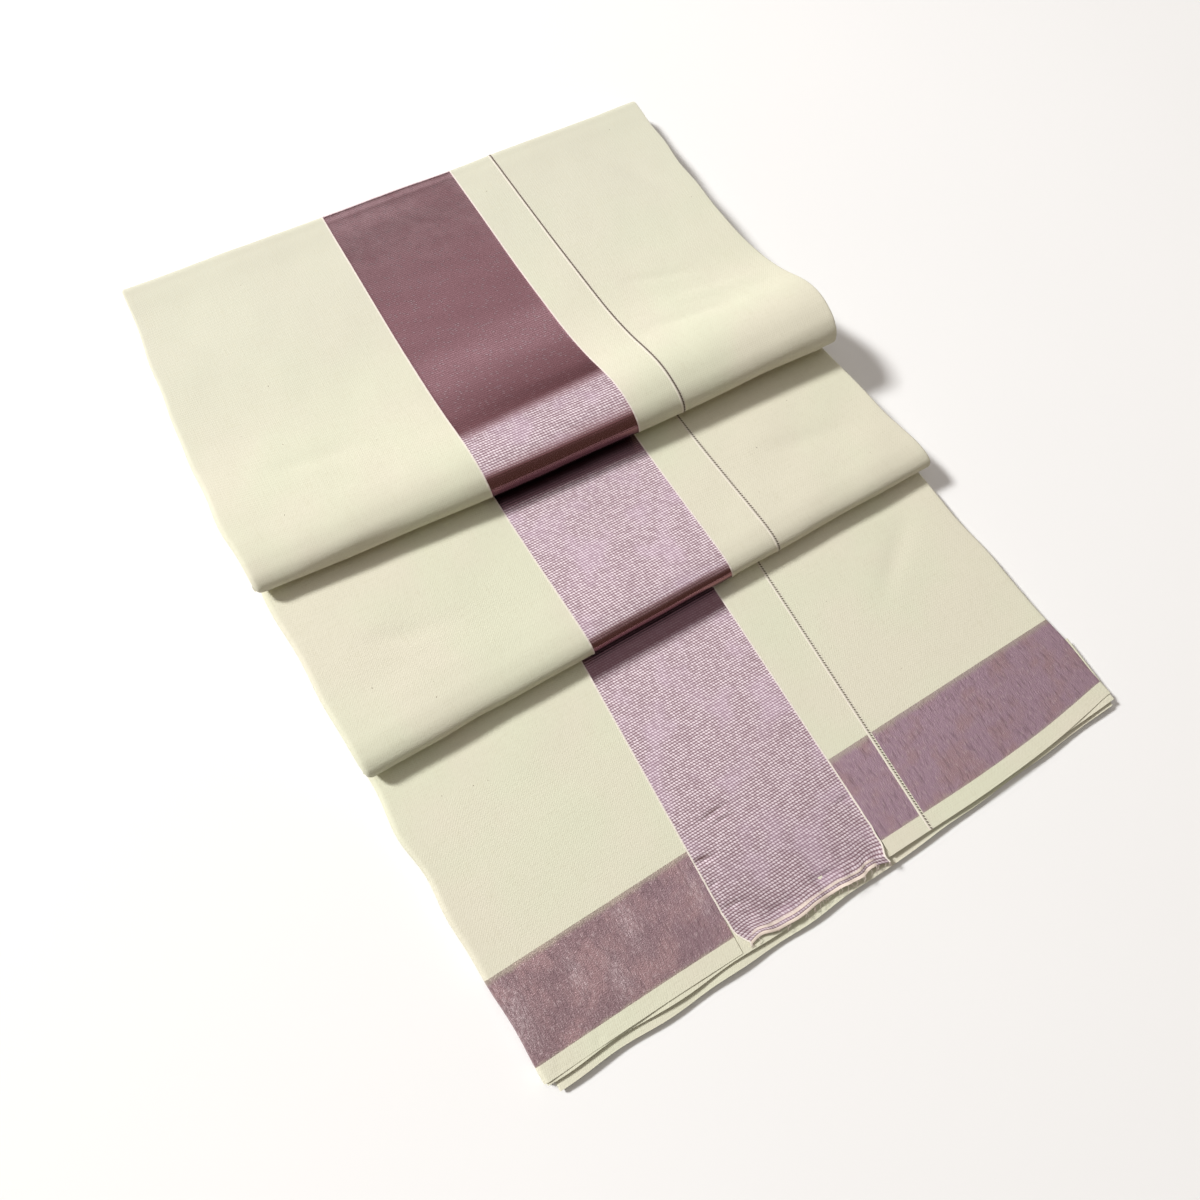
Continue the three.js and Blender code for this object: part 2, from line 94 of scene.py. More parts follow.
# Where the side edges and the woven lines of each tier run, for places along Y.
LINE_COLUMNS = ("left", "band_left", "band_right", "thread_line", "right")
LINES = {
    "lower": [
        (-0.265, -0.1882, -0.069, 0.0311, 0.0601, 0.209),
        (-0.075, -0.2012, -0.0652, 0.03, 0.063, 0.1931),
        (0.27, -0.198, -0.0652, 0.03, 0.063, 0.184),
    ],
    "middle": [
        (-0.089, -0.1993, -0.0579, 0.041, 0.075, 0.1985),
        (0.045, -0.206, -0.064, 0.035, 0.065, 0.1805),
        (0.27, -0.2, -0.064, 0.035, 0.065, 0.1825),
    ],
    "top": [
        (0.01, -0.2045, -0.0655, 0.0355, 0.067, 0.1845),
        (0.045, -0.2075, -0.0658, 0.034, 0.065, 0.187),
        (0.08, -0.209, -0.067, 0.0315, 0.063, 0.1805),
        (0.27, -0.203, -0.0663, 0.0312, 0.0625, 0.185),
    ],
}

# How far the layers have closed up towards the back: y, and the share of their full height.
CLOSING = [(0.092, 1.0), (0.13, 0.87), (0.18, 0.699), (0.225, 0.546), (0.254, 0.434)]
HIDDEN_BACK = [0.252, 0.225, 0.18, 0.13, 0.092]  # rows of the layers that are out of sight

# Outer face of the cloth of each tier where it shows, from its lowest end over the roll:
# y and z at the left side edge, then at the right one where they differ there.
SECTIONS = {
    "lower": [
        (-0.265, 0.007),
        (-0.2, 0.0076),
        (-0.079, 0.008),
        (0.0, 0.008),
    ],
    "middle": [
        (-0.068, 0.0088),
        (-0.078, 0.0098),
        (-0.0855, 0.0122),
        (-0.0888, 0.0156),
        (-0.0872, 0.0198),
        (-0.0825, 0.0226),
        (-0.075, 0.024),
        (-0.062, 0.0242),
        (-0.04, 0.0234),
        (0.0, 0.023),
        (0.04, 0.023, 0.022, 0.023),
    ],
    "top": [
        (0.05, 0.0242, 0.038, 0.0242),
        (0.04, 0.0252, 0.026, 0.0262),
        (0.0325, 0.0275, 0.0165, 0.0302),
        (0.0292, 0.0308, 0.0113, 0.0358),
        (0.0306, 0.0346, 0.0135, 0.042),
        (0.035, 0.0378, 0.0195, 0.0468),
        (0.043, 0.0396, 0.029, 0.0494),
        (0.055, 0.04, 0.042, 0.05),
        (0.068, 0.0394, 0.056, 0.0476),
        (0.08, 0.0386, 0.069, 0.043),
        (0.092, 0.0374, 0.084, 0.0388),
        (0.13, 0.033),
        (0.18, 0.0272),
        (0.225, 0.0216),
        (0.242, 0.0196),
        (0.261, 0.018, 0.2575, 0.018),
        (0.269, 0.0167, 0.2655, 0.0167),
        (0.2715, 0.0136, 0.268, 0.0136),
        (0.272, 0.008, 0.2685, 0.008),
        (0.2706, 0.0042, 0.2671, 0.0042),
        (0.266, 0.0014, 0.2625, 0.0014),
        (0.256, 0.0004, 0.254, 0.0004),
        (0.24, 0.0004),
    ],
}
HIDDEN_LEVEL = {"lower": 0.008, "middle_under": 0.0086, "middle_over": 0.023, "top": 0.0243}

# The near edge of the lower tier bows out: x, and by how much.
NEAR_BOW = [(-0.2, 0.0), (-0.098, 0.0012), (-0.066, 0.0021), (0.034, 0.004), (0.11, 0.0052),
            (0.16, 0.0038), (0.205, 0.0)]
NEAR_BOW_DEPTH = 0.048
NEAR_BOW_MOST = 1.2

# Folded layers that stick out under the near edge: height, thickness, how far inside the side
# edges, and their front edge at the left, in the middle and at the right.
EDGE_LAYERS = [
    (0.0062, 0.0014, 0.0014, 0.0008, -0.2662, -0.2697, -0.2694),
    (0.005, 0.0014, 0.0034, 0.0022, -0.2652, -0.2672, -0.2668),
    (0.0038, 0.0018, 0.0052, 0.0026, -0.2716, -0.2741, -0.2716),
]
EDGE_LAYER_X = (-0.19, -0.05, 0.08, 0.205)
EDGE_LAYER_FAR_Y = -0.225
EDGE_LAYER_WALL = 0.00045
EDGE_LAYER_STEPS, EDGE_LAYER_ROWS = 90, 14
EDGE_LAYER_WAVER, EDGE_LAYER_LIFT = 0.0004, 0.00025

# The puckered near end of the band: x and y of its edge, from left to right.
BAND_END = [(-0.069, -0.2644), (-0.0562, -0.2634), (-0.0497, -0.2648), (-0.0394, -0.2664),
            (-0.0256, -0.2655), (-0.0159, -0.2654), (-0.0028, -0.265), (0.0032, -0.2662),
            (0.0132, -0.2662), (0.0166, -0.2654), (0.0311, -0.2678)]
PUCKER_REACH = 0.016
PUCKER_RISE = 0.00042
PUCKER_ROLL, ROLL_X, ROLL_Y = 0.0003, 0.047, 0.03
PUCKER_SWAY, SWAY_X = 0.00035, 0.022
PUCKER_WAVES = [(0.031, 0.6, 1.0), (0.0173, 1.9, 0.6), (0.0094, 0.4, 0.4)]  # length, phase, share
END_LIFT, END_LIFT_REACH = 0.0012, 0.0035
END_REACH = 0.009  # of the edge's own line
CORNER_DRAW = (0.006, 0.0032)  # how far the end's left and right corners are drawn in
CORNER_REACH = 0.005
SIDE_SWAY, SIDE_SWAY_Y = 0.0004, 0.011

# The last rows of the band are pale along the middle of its end: x, and how deep.
PALE_DEPTH = [(-0.064, 0.0), (-0.055, 0.0034), (-0.04, 0.003), (-0.02, 0.0016), (0.0, 0.001),
              (0.014, 0.0012), (0.02, 0.0)]
PALE_FADE = 1.4

# Soft troughs in the cloth of each tier: x and y of their two ends, half width and depth. A
# negative depth is a ridge.
CREASES = {
    "lower": [
        (-0.0546, -0.2431, -0.0553, -0.2566, 0.0018, 0.0008),
        (-0.066, -0.2421, -0.0554, -0.2443, 0.0016, 0.0006),
        (-0.0677, -0.2162, -0.0566, -0.2177, 0.0019, 0.0009),
        (-0.0677, -0.229, -0.061, -0.23, 0.0014, 0.0004),
        (-0.0524, -0.1997, -0.0357, -0.1989, 0.0018, 0.0007),
        (-0.047, -0.2045, -0.035, -0.2052, 0.0016, 0.0004),
        (0.026, -0.2279, 0.0295, -0.2371, 0.0021, 0.0005),
        (0.02, -0.23, 0.03, -0.229, 0.0018, 0.0004),
        (-0.0177, -0.2543, 0.0011, -0.2553, 0.0022, 0.0007),
        (0.0178, -0.2583, 0.0166, -0.2653, 0.0019, 0.001),
        (-0.01, -0.261, 0.014, -0.2625, 0.0019, 0.0008),
        (-0.048, -0.256, -0.03, -0.2545, 0.0026, 0.0004),
        (-0.1566, -0.2655, -0.154, -0.259, 0.0009, 0.0005),
        (-0.1801, -0.2655, -0.177, -0.258, 0.0009, 0.0004),
        (-0.125, -0.125, -0.102, -0.15, 0.006, 0.0004),
        (0.12, -0.145, 0.165, -0.11, 0.007, 0.0005),
    ],
    "middle": [
        (-0.17, -0.02, -0.12, -0.035, 0.006, 0.0005),
        (0.1, -0.03, 0.16, -0.04, 0.006, 0.0005),
    ],
    "top": [
        (0.0865, 0.1156, 0.1327, 0.1027, 0.0036, 0.0006),
        (0.0732, 0.077, 0.14, 0.069, 0.004, 0.0006),
        (0.1, 0.088, 0.165, 0.08, 0.0036, -0.0005),
        (-0.17, 0.09, -0.12, 0.08, 0.006, 0.0005),
        (-0.19, 0.22, -0.15, 0.17, 0.007, 0.0005),
        (0.13, 0.23, 0.16, 0.17, 0.007, 0.0004),
    ],
}

# Soft troughs in the rolls and the back fold: x of one end and its distance along the cloth
# from the front of the roll, or from the back fold, then the same of the other end.
FOLD_CREASES = {
    "middle": [
        ("front", -0.15, -0.004, -0.118, 0.002, 0.0035, 0.0006),
        ("front", 0.1, 0.003, 0.15, -0.002, 0.0035, 0.0006),
    ],
    "top": [
        ("front", -0.175, 0.004, -0.12, 0.006, 0.0035, 0.0007),
        ("front", 0.09, -0.004, 0.16, 0.002, 0.004, 0.0009),
        ("back", -0.16, 0.002, -0.11, -0.004, 0.004, 0.0008),
        ("back", -0.02, 0.004, 0.02, 0.001, 0.003, 0.0004),
        ("back", 0.09, -0.003, 0.15, 0.003, 0.004, 0.0008),
    ],
}
# Rows of the sections at the front of a roll and at the back fold.
FRONT_ROW = {"lower": 0, "middle": 3, "top": 3}
BACK_ROW = 18
UPPER_ROWS = 14  # from the front of a roll
NORMAL_STEP = 0.0008
CREASE_END = 0.35  # depth of a trough at its ends

UNDULATION = {"lower": 0.0001, "middle": 0.00016, "top": 0.0002}
UNDULATION_WAVES = 14
UNDULATION_LENGTHS = (0.022, 0.12)
EDGE_WOBBLE = 0.00045
WOBBLE_LENGTHS, WOBBLE_WAVES = (0.02, 0.09), 10

# Specks of seed husk left in the cotton: tier, x and y. The rest are scattered.
SPECKS = [("top", 0.1527, 0.2484), ("top", -0.1739, 0.0573), ("middle", 0.1629, -0.0637),
          ("lower", -0.129, -0.2196), ("top", 0.044, 0.235)]
SCATTERED_SPECKS = 26
SPECK_SIZE = (0.00018, 0.00045)
SPECK_RIM, SPECK_FOOT, SPECK_TOP = 0.00002, -0.0002, 0.00012
SPECK_SPAN = {"lower": (-0.2, -0.1), "middle": (-0.07, 0.0), "top": (0.06, 0.24)}  # y

LOOSE_THREADS = 34
THREAD_RADIUS = 0.00011
THREAD_REACH, THREAD_LEAN, THREAD_DROP = (0.0008, 0.0034), (-0.0012, 0.0012), (0.0004, 0.0018)
THREAD_CURL = (0.0003, 0, 0.0002)

# ---- camera

CAMERA_PLACE = (-0.14365, -0.17284, 0.48827)
CAMERA_FORWARD = (0.24251, 0.25522, -0.93598)
CAMERA_RIGHT = (0.8571, -0.50835, 0.08346)
CAMERA_LENS_MM = 25.045
CAMERA_SHIFT = (-0.00675, -0.03175)


def add_object(name, data):
    made = bpy.data.objects.new(name, data)
    bpy.context.scene.collection.objects.link(made)
    return made


def add_camera():
    forward = Vector(CAMERA_FORWARD).normalized()
    right = Vector(CAMERA_RIGHT)
    right = (right - forward * right.dot(forward)).normalized()
    basis = Matrix((right, right.cross(forward), -forward)).transposed().to_4x4()
    data = bpy.data.cameras.new("camera")
    data.lens = CAMERA_LENS_MM
    data.sensor_width = 36
    data.shift_x, data.shift_y = CAMERA_SHIFT
    data.clip_start = 0.01
    camera = add_object("camera", data)
    camera.matrix_world = Matrix.Translation(CAMERA_PLACE) @ basis
    bpy.context.scene.camera = camera


# ---- curves and lines


class Curve:
    """A smooth curve through rows of values at rising knots."""

    def __init__(self, knots, values):
        self.knots = np.array(knots, float)
        self.values = np.array(values, float)
        step = np.diff(self.knots)[:, None]
        chord = np.diff(self.values, axis=0) / step
        inner = (chord[:-1] * step[1:] + chord[1:] * step[:-1]) / (step[1:] + step[:-1])
        self.slopes = np.vstack([chord[:1], inner, chord[-1:]])

    def __call__(self, at):
        at = np.clip(at, self.knots[0], self.knots[-1])
        k = np.searchsorted(self.knots, at, side="right") - 1
        k = np.clip(k, 0, len(self.knots) - 2)
        step = (self.knots[k + 1] - self.knots[k])[..., None]
        t = (at - self.knots[k])[..., None] / step
        from_low = self.values[k] * (1 + 2 * t) + self.slopes[k] * step * t
        from_high = self.values[k + 1] * (3 - 2 * t) + self.slopes[k + 1] * step * (t - 1)
        return from_low * (1 - t) ** 2 + from_high * t ** 2


def table_curve(rows):
    rows = np.array(rows)
    return Curve(rows[:, 0], rows[:, 1:])


LINE_CURVES = {tier: table_curve(rows) for tier, rows in LINES.items()}
CLOSING_TABLE = np.array(CLOSING)
NEAR_BOW_CURVE = table_curve(NEAR_BOW)
BAND_END_CURVE = table_curve(BAND_END)


def smooth_noise(seed, lengths, count):
    """A smooth random function of two distances, with a spread of about one."""
    rng = np.random.default_rng(seed)
    length = rng.uniform(*lengths, count)
    angle = rng.uniform(0, tau, count)
    phase = rng.uniform(0, tau, count)
    weight = length / np.linalg.norm(length) * sqrt(2)

    def value(a, b):
        total = np.zeros(np.broadcast(a, b).shape)
        for k in range(count):
            turn = a * cos(angle[k]) + b * sin(angle[k])
            total += weight[k] * np.sin(tau * turn / length[k] + phase[k])
        return total

    return value


TIERS = ("lower", "middle", "top")
undulation = {
    tier: smooth_noise(SEED + k, UNDULATION_LENGTHS, UNDULATION_WAVES)
    for k, tier in enumerate(TIERS)
}
wobble = smooth_noise(SEED + 10, WOBBLE_LENGTHS, WOBBLE_WAVES)


def closing(y):
    return np.interp(y, CLOSING_TABLE[:, 0], CLOSING_TABLE[:, 1])


def line_x(tier, line, y):
    """Where a named line of a tier runs. The side edges waver a little."""
    x = LINE_CURVES[tier](y)[..., LINE_COLUMNS.index(line)]
    if line in ("left", "right"):
        x = x + EDGE_WOBBLE * wobble(y, 0.2 * TIERS.index(tier) + (0.1 if line == "left" else 0))
    return x


class Section:
    """The outer face of a tier's cloth along its whole path, hidden runs included."""

    def __init__(self, before, shown, after, bow=0.0):
        rows = before + shown + after
        rows = np.array([row if len(row) == 4 else row * 2 for row in rows])
        mean = (rows[:, :2] + rows[:, 2:]) / 2
        steps = np.linalg.norm(np.diff(mean, axis=0), axis=1)
        self.s = np.concatenate([[0.0], np.cumsum(steps)])
        self.curve = Curve(self.s, rows)
        self.mean_y = mean[:, 0]
        self.first = len(before)
        self.start = self.s[self.first]
        self.end = self.s[self.first + len(shown) - 1]
        self.bow = bow

    def point(self, s, across):
        y_left, z_left, y_right, z_right = np.moveaxis(self.curve(s), -1, 0)
        y = y_left + (y_right - y_left) * across
        z = z_left + (z_right - z_left) * across
        if self.bow == 0:
            return y, z
        middle = 4 * across * (1 - across)
        upper = np.clip((z - SWELL_FROM_Z) / SWELL_RISE, 0, 1)
        swell = SWELL_HEIGHT * np.exp(-((y - SWELL_Y) / SWELL_SPREAD) ** 2 / 2)
        weight = np.clip((BOW_FROM_Y - y) / BOW_FADE, 0, 1)
        return y - self.bow * weight * middle, z + swell * upper * middle

    def normal(self, s, across):
        y0, z0 = self.point(s - NORMAL_STEP, across)
        y1, z1 = self.point(s + NORMAL_STEP, across)
        size = np.maximum(np.hypot(y1 - y0, z1 - z0), 1e-9)
        return (z0 - z1) / size, (y1 - y0) / size

    def at_row(self, row):
        return self.s[self.first + row]

    def upper_s(self, y, front_row):
        """The place along the path of a y on the upper face."""
        start = self.first + front_row
        rows = slice(start, start + UPPER_ROWS)
        return np.interp(y, self.mean_y[rows], self.s[rows])


def hidden_rows(level, ys):
    return [(y, level * closing(y)) for y in ys]


SECTION = {
    "lower": Section([], SECTIONS["lower"], hidden_rows(HIDDEN_LEVEL["lower"], HIDDEN_BACK[::-1])),
    "middle": Section(
        hidden_rows(HIDDEN_LEVEL["middle_under"], HIDDEN_BACK + [0.04, -0.03]),
        SECTIONS["middle"],
        hidden_rows(HIDDEN_LEVEL["middle_over"], HIDDEN_BACK[::-1]),
    ),
    "top": Section(
        hidden_rows(HIDDEN_LEVEL["top"], HIDDEN_BACK + [0.065]),
        SECTIONS["top"],
        [],
        bow=TOP_FRONT_BOW,
    ),
}


def lower_s(y):
    return SECTION["lower"].upper_s(y, 0)


# ---- relief


def trough(x, s, x0, s0, x1, s1, width, depth):
    """A soft trough along the line from one end to the other, fading out at both."""
    along_x, along_s = x1 - x0, s1 - s0
    length = along_x ** 2 + along_s ** 2
    t = np.clip(((x - x0) * along_x + (s - s0) * along_s) / length, 0, 1)
    away = (x - x0 - t * along_x) ** 2 + (s - s0 - t * along_s) ** 2
    fade = CREASE_END + (1 - CREASE_END) * np.sin(pi * t)
    return -depth * fade * np.exp(-away / width ** 2)


def relief(tier, x, s):
    """How far the cloth lies above its smooth face."""
    section = SECTION[tier]
    height = UNDULATION[tier] * undulation[tier](x, s)
    for x0, y0, x1, y1, width, depth in CREASES[tier]:
        s0, s1 = (section.upper_s(y, FRONT_ROW[tier]) for y in (y0, y1))
        height += trough(x, s, x0, s0, x1, s1, width, depth)
    for fold, x0, from_s, x1, to_s, width, depth in FOLD_CREASES.get(tier, []):
        middle = section.at_row(FRONT_ROW[tier] if fold == "front" else BACK_ROW)
        height += trough(x, s, x0, middle + from_s, x1, middle + to_s, width, depth)
    return height


def near_bow(points):
    """Bows the near edge of the lower tier out."""
    x, y = points[..., 0], points[..., 1]
    weight = np.clip((BORDER_INNER_Y - y) / NEAR_BOW_DEPTH, 0, NEAR_BOW_MOST)
    points[..., 1] -= NEAR_BOW_CURVE(x)[..., 0] * weight
    return points


# ---- stretches

# A column of a stretch: its share of the way between the stretch's two lines, a shift in
# passes of the packet and one in metres, and how many passes it lies under the outer face.
Column = namedtuple("Column", "share fold shift depth", defaults=(0.0, 0.0, 0.0))
ROUNDS = 6


def pass_thickness(tier, y, z):
    if tier == "lower":
        return np.minimum(z - FLOOR_GAP, PASS) * np.ones_like(y)
    return PASS * closing(y)


def settle(tier, s, columns):
    """The place of each column at each s on the smooth outer face."""
    section = SECTION[tier]
    line_from, line_to, parts = columns
    share, fold, shift, depth = (np.array(v)[None, :] for v in zip(*parts))
    s = s[:, None]
    across = 0.5 * np.ones((len(s), share.shape[1]))
    for _ in range(ROUNDS):
        y, z = section.point(s, across)
        start, end = line_from(y), line_to(y)
        thick = pass_thickness(tier, y, z)
        x = start + (end - start) * share + thick * fold + shift
        left, right = line_x(tier, "left", y), line_x(tier, "right", y)
        across = np.clip((x - left) / (right - left), 0, 1)
    return x, y, z, across, thick * depth


def stretch_points(tier, s, columns):
    """The outer face of a stretch: a grid with rows along the cloth and columns across it."""
    x, y, z, across, depth = settle(tier, s, columns)
    normal_y, normal_z = SECTION[tier].normal(s[:, None], across)
    out = relief(tier, x, s[:, None]) - depth
    points = np.stack([x, y + normal_y * out, z + normal_z * out], axis=-1)
    return near_bow(points) if tier == "lower" else points


def line_edge(tier, line, shift=0.0):
    return lambda y: line_x(tier, line, y) + shift


def return_columns(share, fold, depth, length, side):
    """Columns from inside the packet out to a side fold."""
    distances = np.linspace(length, 0, RETURN_STEPS, endpoint=False)
    return [Column(share, fold, -side * d, depth) for d in distances]


def fold_columns(share, radius, depth, side):
    """Half a turn round a side edge, from the outer face under."""
    turns = np.linspace(0, pi, 2 * FOLD_STEPS + 1)
    return [
        Column(share, -side * radius * (1 - sin(t)), 0.0, depth + radius * (1 - cos(t)))
        for t in turns
    ]


LEFT_RADIUS = 0.5  # of a pass: one fold holds all of it
RIGHT_RADIUS = 0.245  # two folds, one on the other
SECOND_FOLD_SHIFT = 0.0009


def left_columns():
    under = return_columns(0, LEFT_RADIUS, 2 * LEFT_RADIUS, RETURN, -1)
    return under + fold_columns(0, LEFT_RADIUS, 0, -1)[::-1]


def right_columns():
    under = return_columns(1, -RIGHT_RADIUS, 2 * RIGHT_RADIUS, RETURN, 1)
    return fold_columns(1, RIGHT_RADIUS, 0, 1) + under[::-1]


def second_fold_columns(deep):
    """The lower of the two folds at the right edge, a little further in."""
    top = 1 - 2 * RIGHT_RADIUS
    over = return_columns(1, -RIGHT_RADIUS, top, RETURN, 1)
    turn = fold_columns(1, RIGHT_RADIUS, top, 1)
    under = return_columns(1, -RIGHT_RADIUS, 1, deep, 1)
    shifted = over + turn + under[::-1]
    return [column._replace(shift=column.shift - SECOND_FOLD_SHIFT) for column in shifted]


def stretch_columns(tier, line_from, line_to, pitch):
    """The columns between two lines, with the side folds where a line is a side edge. The
    cloth stops at the sides of the thread line."""
    has_left, has_right = line_from == "left", line_to == "right"
    section_lines = LINE_CURVES[tier].values
    width = np.max(section_lines[:, LINE_COLUMNS.index(line_to)]
                   - section_lines[:, LINE_COLUMNS.index(line_from)])
    steps = max(round(width / pitch), 1)
    columns = left_columns()[:-1] if has_left else []
    for share in np.linspace(0, 1, steps + 1):
        fold = LEFT_RADIUS * (1 - share) * has_left - RIGHT_RADIUS * share * has_right
        columns.append(Column(share, fold))
    columns += right_columns()[1:] if has_right else []
    shift_from = LINE_WIDTH / 2 if line_from == "thread_line" else 0.0
    shift_to = -LINE_WIDTH / 2 if line_to == "thread_line" else 0.0
    return line_edge(tier, line_from, shift_from), line_edge(tier, line_to, shift_to), columns


def spaced(start, end, pitch):
    return np.linspace(start, end, max(round((end - start) / pitch), 2) + 1)


# ---- meshes


def cloth_coords(points, s):
    """Distances across and along the cloth, for the weave."""
    middle = points[len(points) // 2]
    steps = np.linalg.norm(np.diff(middle, axis=0), axis=1)
    across = np.concatenate([[0.0], np.cumsum(steps)]) + middle[0, 0]
    return np.stack(np.broadcast_arrays(across[None, :], s[:, None]), axis=-1)


def grid_normals(points):
    normal = np.cross(np.gradient(points, axis=1), np.gradient(points, axis=0))
    return normal / np.maximum(np.linalg.norm(normal, axis=-1, keepdims=True), 1e-12)


def shell_faces(rows, columns):
    """Faces of a wall between an outer and an inner grid, with its rim."""
    outer = np.arange(rows * columns).reshape(rows, columns)
    inner = outer + rows * columns
    corners = [
        (outer[:-1, :-1], outer[:-1, 1:], outer[1:, 1:], outer[1:, :-1]),
        (inner[:-1, :-1], inner[1:, :-1], inner[1:, 1:], inner[:-1, 1:]),
        (outer[:-1, 0], outer[1:, 0], inner[1:, 0], inner[:-1, 0]),
        (outer[1:, -1], outer[:-1, -1], inner[:-1, -1], inner[1:, -1]),
        (outer[0, 1:], outer[0, :-1], inner[0, :-1], inner[0, 1:]),
        (outer[-1, :-1], outer[-1, 1:], inner[-1, 1:], inner[-1, :-1]),
    ]
    return np.concatenate([np.stack(four, -1).reshape(-1, 4) for four in corners])


Patch = namedtuple("Patch", "points coords values")
SHARP_ANGLE = 70


def make_piece(name, patches, material, wall=WALL):
    """One mesh of a shell for each patch. A patch's values are named numbers at its points."""
    vertices, faces, coords, values = [], [], [], {}
    count = 0
    for patch in patches:
        inner = patch.points - grid_normals(patch.points) * wall
        both = np.concatenate([patch.points.reshape(-1, 3), inner.reshape(-1, 3)])
        vertices.append(both)
        faces.append(shell_faces(*patch.points.shape[:2]) + count)
        coords.append(np.tile(patch.coords.reshape(-1, 2), (2, 1)))
        for key, value in patch.values.items():
            values.setdefault(key, []).append(np.tile(value.reshape(-1), 2))
        count += len(both)
    piece = mesh_object(name, np.concatenate(vertices), np.concatenate(faces), material)
    set_coords(piece.data, np.concatenate(coords))
    for key, parts in values.items():
        set_values(piece.data, key, np.concatenate(parts))
    return piece


def mesh_object(name, vertices, faces, material):
    mesh = bpy.data.meshes.new(name)
    mesh.from_pydata(vertices.tolist(), [], [list(face) for face in faces])
    mesh.shade_smooth()
    mesh.set_sharp_from_angle(angle=radians(SHARP_ANGLE))
    mesh.materials.append(material)
    return add_object(name, mesh)


def set_coords(mesh, coords):
    corners = np.empty(len(mesh.loops), np.int32)
    mesh.loops.foreach_get("vertex_index", corners)
    layer = mesh.uv_layers.new(name="cloth")
    layer.data.foreach_set("uv", coords[corners].astype(np.float32).ravel())


def set_values(mesh, name, values):
    layer = mesh.attributes.new(name, "FLOAT", "POINT")
    layer.data.foreach_set("value", values.astype(np.float32))


# ---- materials


class Nodes:
    """Makes nodes by short calls. An input takes a number or an output."""

    def __init__(self, owner):
        owner.use_nodes = True
        self.tree = owner.node_tree

    def node(self, kind, inputs=(), **settings):
        made = self.tree.nodes.new("ShaderNode" + kind)
        for key, value in settings.items():
            setattr(made, key, value)
        for key, value in dict(inputs).items():
            self.feed(made.inputs[key], value)
        return made

    def feed(self, socket, value):
        if isinstance(value, bpy.types.NodeSocket):
            self.tree.links.new(value, socket)
        else:
            socket.default_value = value

    def math(self, operation, a, b=0.0):
        return self.node("Math", {0: a, 1: b}, operation=operation).outputs[0]

    def times(self, a, b):
        return self.math("MULTIPLY", a, b)

    def plus(self, a, b):
        return self.math("ADD", a, b)

    def minus(self, a, b):
        return self.math("SUBTRACT", a, b)

    def mix(self, share, a, b):
        return self.node("Mix", {0: share, 6: a, 7: b}, data_type="RGBA").outputs[2]

    def remap(self, value, low, high, to_high=1.0, to_low=0.0):
        inputs = {0: value, 1: low, 2: high, 3: to_low, 4: to_high}
        return self.node("MapRange", inputs, interpolation_type="SMOOTHSTEP").outputs[0]

    def split(self, vector):
        return list(self.node("SeparateXYZ", {0: vector}).outputs)

    def combine(self, x, y):
        return self.node("CombineXYZ", {0: x, 1: y}).outputs[0]

    def noise(self, vector, scale, detail=2.0, roughness=0.5):
        inputs = {"Vector": vector, "Scale": scale, "Detail": detail, "Roughness": roughness}
        return self.node("TexNoise", inputs).outputs[0]

    def random(self, x, y):
        cell = self.combine(x, y)
        return self.node("TexWhiteNoise", {"Vector": cell}, noise_dimensions="2D").outputs[0]


class Look(Nodes):
    """A material."""

    def __init__(self, name):
        self.material = bpy.data.materials.new(name)
        super().__init__(self.material)
        self.shader = self.tree.nodes["Principled BSDF"]

    def shade(self, **inputs):
        for key, value in inputs.items():
            self.feed(self.shader.inputs[key.replace("_", " ")], value)

    def cloth(self):
        """Distances across and along the cloth."""
        return self.split(self.node("UVMap", uv_map="cloth").outputs[0])[:2]

    def fibres(self, u, v, across, along, detail=2.0):
        """Noise at so many turns a metre across and along the cloth."""
        return self.noise(self.combine(self.times(u, across), self.times(v, along)), 1.0, detail)

    def place(self):
        return self.node("TexCoord").outputs["Object"]

    def value(self, name):
        return self.node("Attribute", attribute_name=name).outputs["Fac"]

    def bump(self, height, distance):
        made = self.node("Bump", {"Height": height, "Distance": distance})
        self.shade(Normal=made.outputs[0])


CREAM_GREEN = (0.69, 0.695, 0.535, 1)
CREAM_PINK = (0.71, 0.68, 0.545, 1)
CREAM_DEEP = (0.61, 0.58, 0.43, 1)
CREAM_BACK_SHADE = (0.61, 0.605, 0.495, 1)


def cotton_colour(look, u, v):
    """Cream cotton with faint patches, mottles and slubs, and a painted shade that greys it a little
    towards the back.
    """
    place = look.place()
    patches = look.remap(look.noise(place, 14.0, 3.0), 0.35, 0.65)
    colour = look.mix(patches, CREAM_GREEN, CREAM_PINK)
    slubs = look.times(look.plus(look.fibres(u, v, 60, 1500), look.fibres(u, v, 1500, 60)), 0.5)
    # Painted shade: the cream turns greyer towards the back.
    behind = look.remap(look.split(place)[1], 0.04, 0.22, 0.75)
    colour = look.mix(behind, colour, CREAM_BACK_SHADE)
    mottles = look.remap(look.noise(place, 420.0, 2.0), 0.45, 0.75, 0.14)
    colour = look.mix(mottles, colour, CREAM_DEEP)
    return look.mix(look.remap(slubs, 0.5, 0.66, 0.3), colour, CREAM_DEEP), slubs


def weave_height(look, u, v, pitch):
    """Threads over and under each other."""
    turn = tau / pitch
    over = look.math("SINE", look.times(u, turn / 2))
    under = look.math("SINE", look.times(v, turn / 2))
    return look.times(over, under)


def cotton_look(name="cotton", pitch=0.0008):
    look = Look(name)
    u, v = look.cloth()
    colour, slubs = cotton_colour(look, u, v)
    weave = weave_height(look, u, v, pitch)
    fuzz = look.noise(look.place(), 900.0, 2.0)
    height = look.plus(look.times(weave, 0.25), look.plus(slubs, fuzz))
    look.shade(Base_Color=colour, Roughness=0.88)
    look.shade(Sheen_Weight=0.12, Sheen_Roughness=0.5, Specular_IOR_Level=0.25)
    look.bump(height, 0.00012)
    return look.material


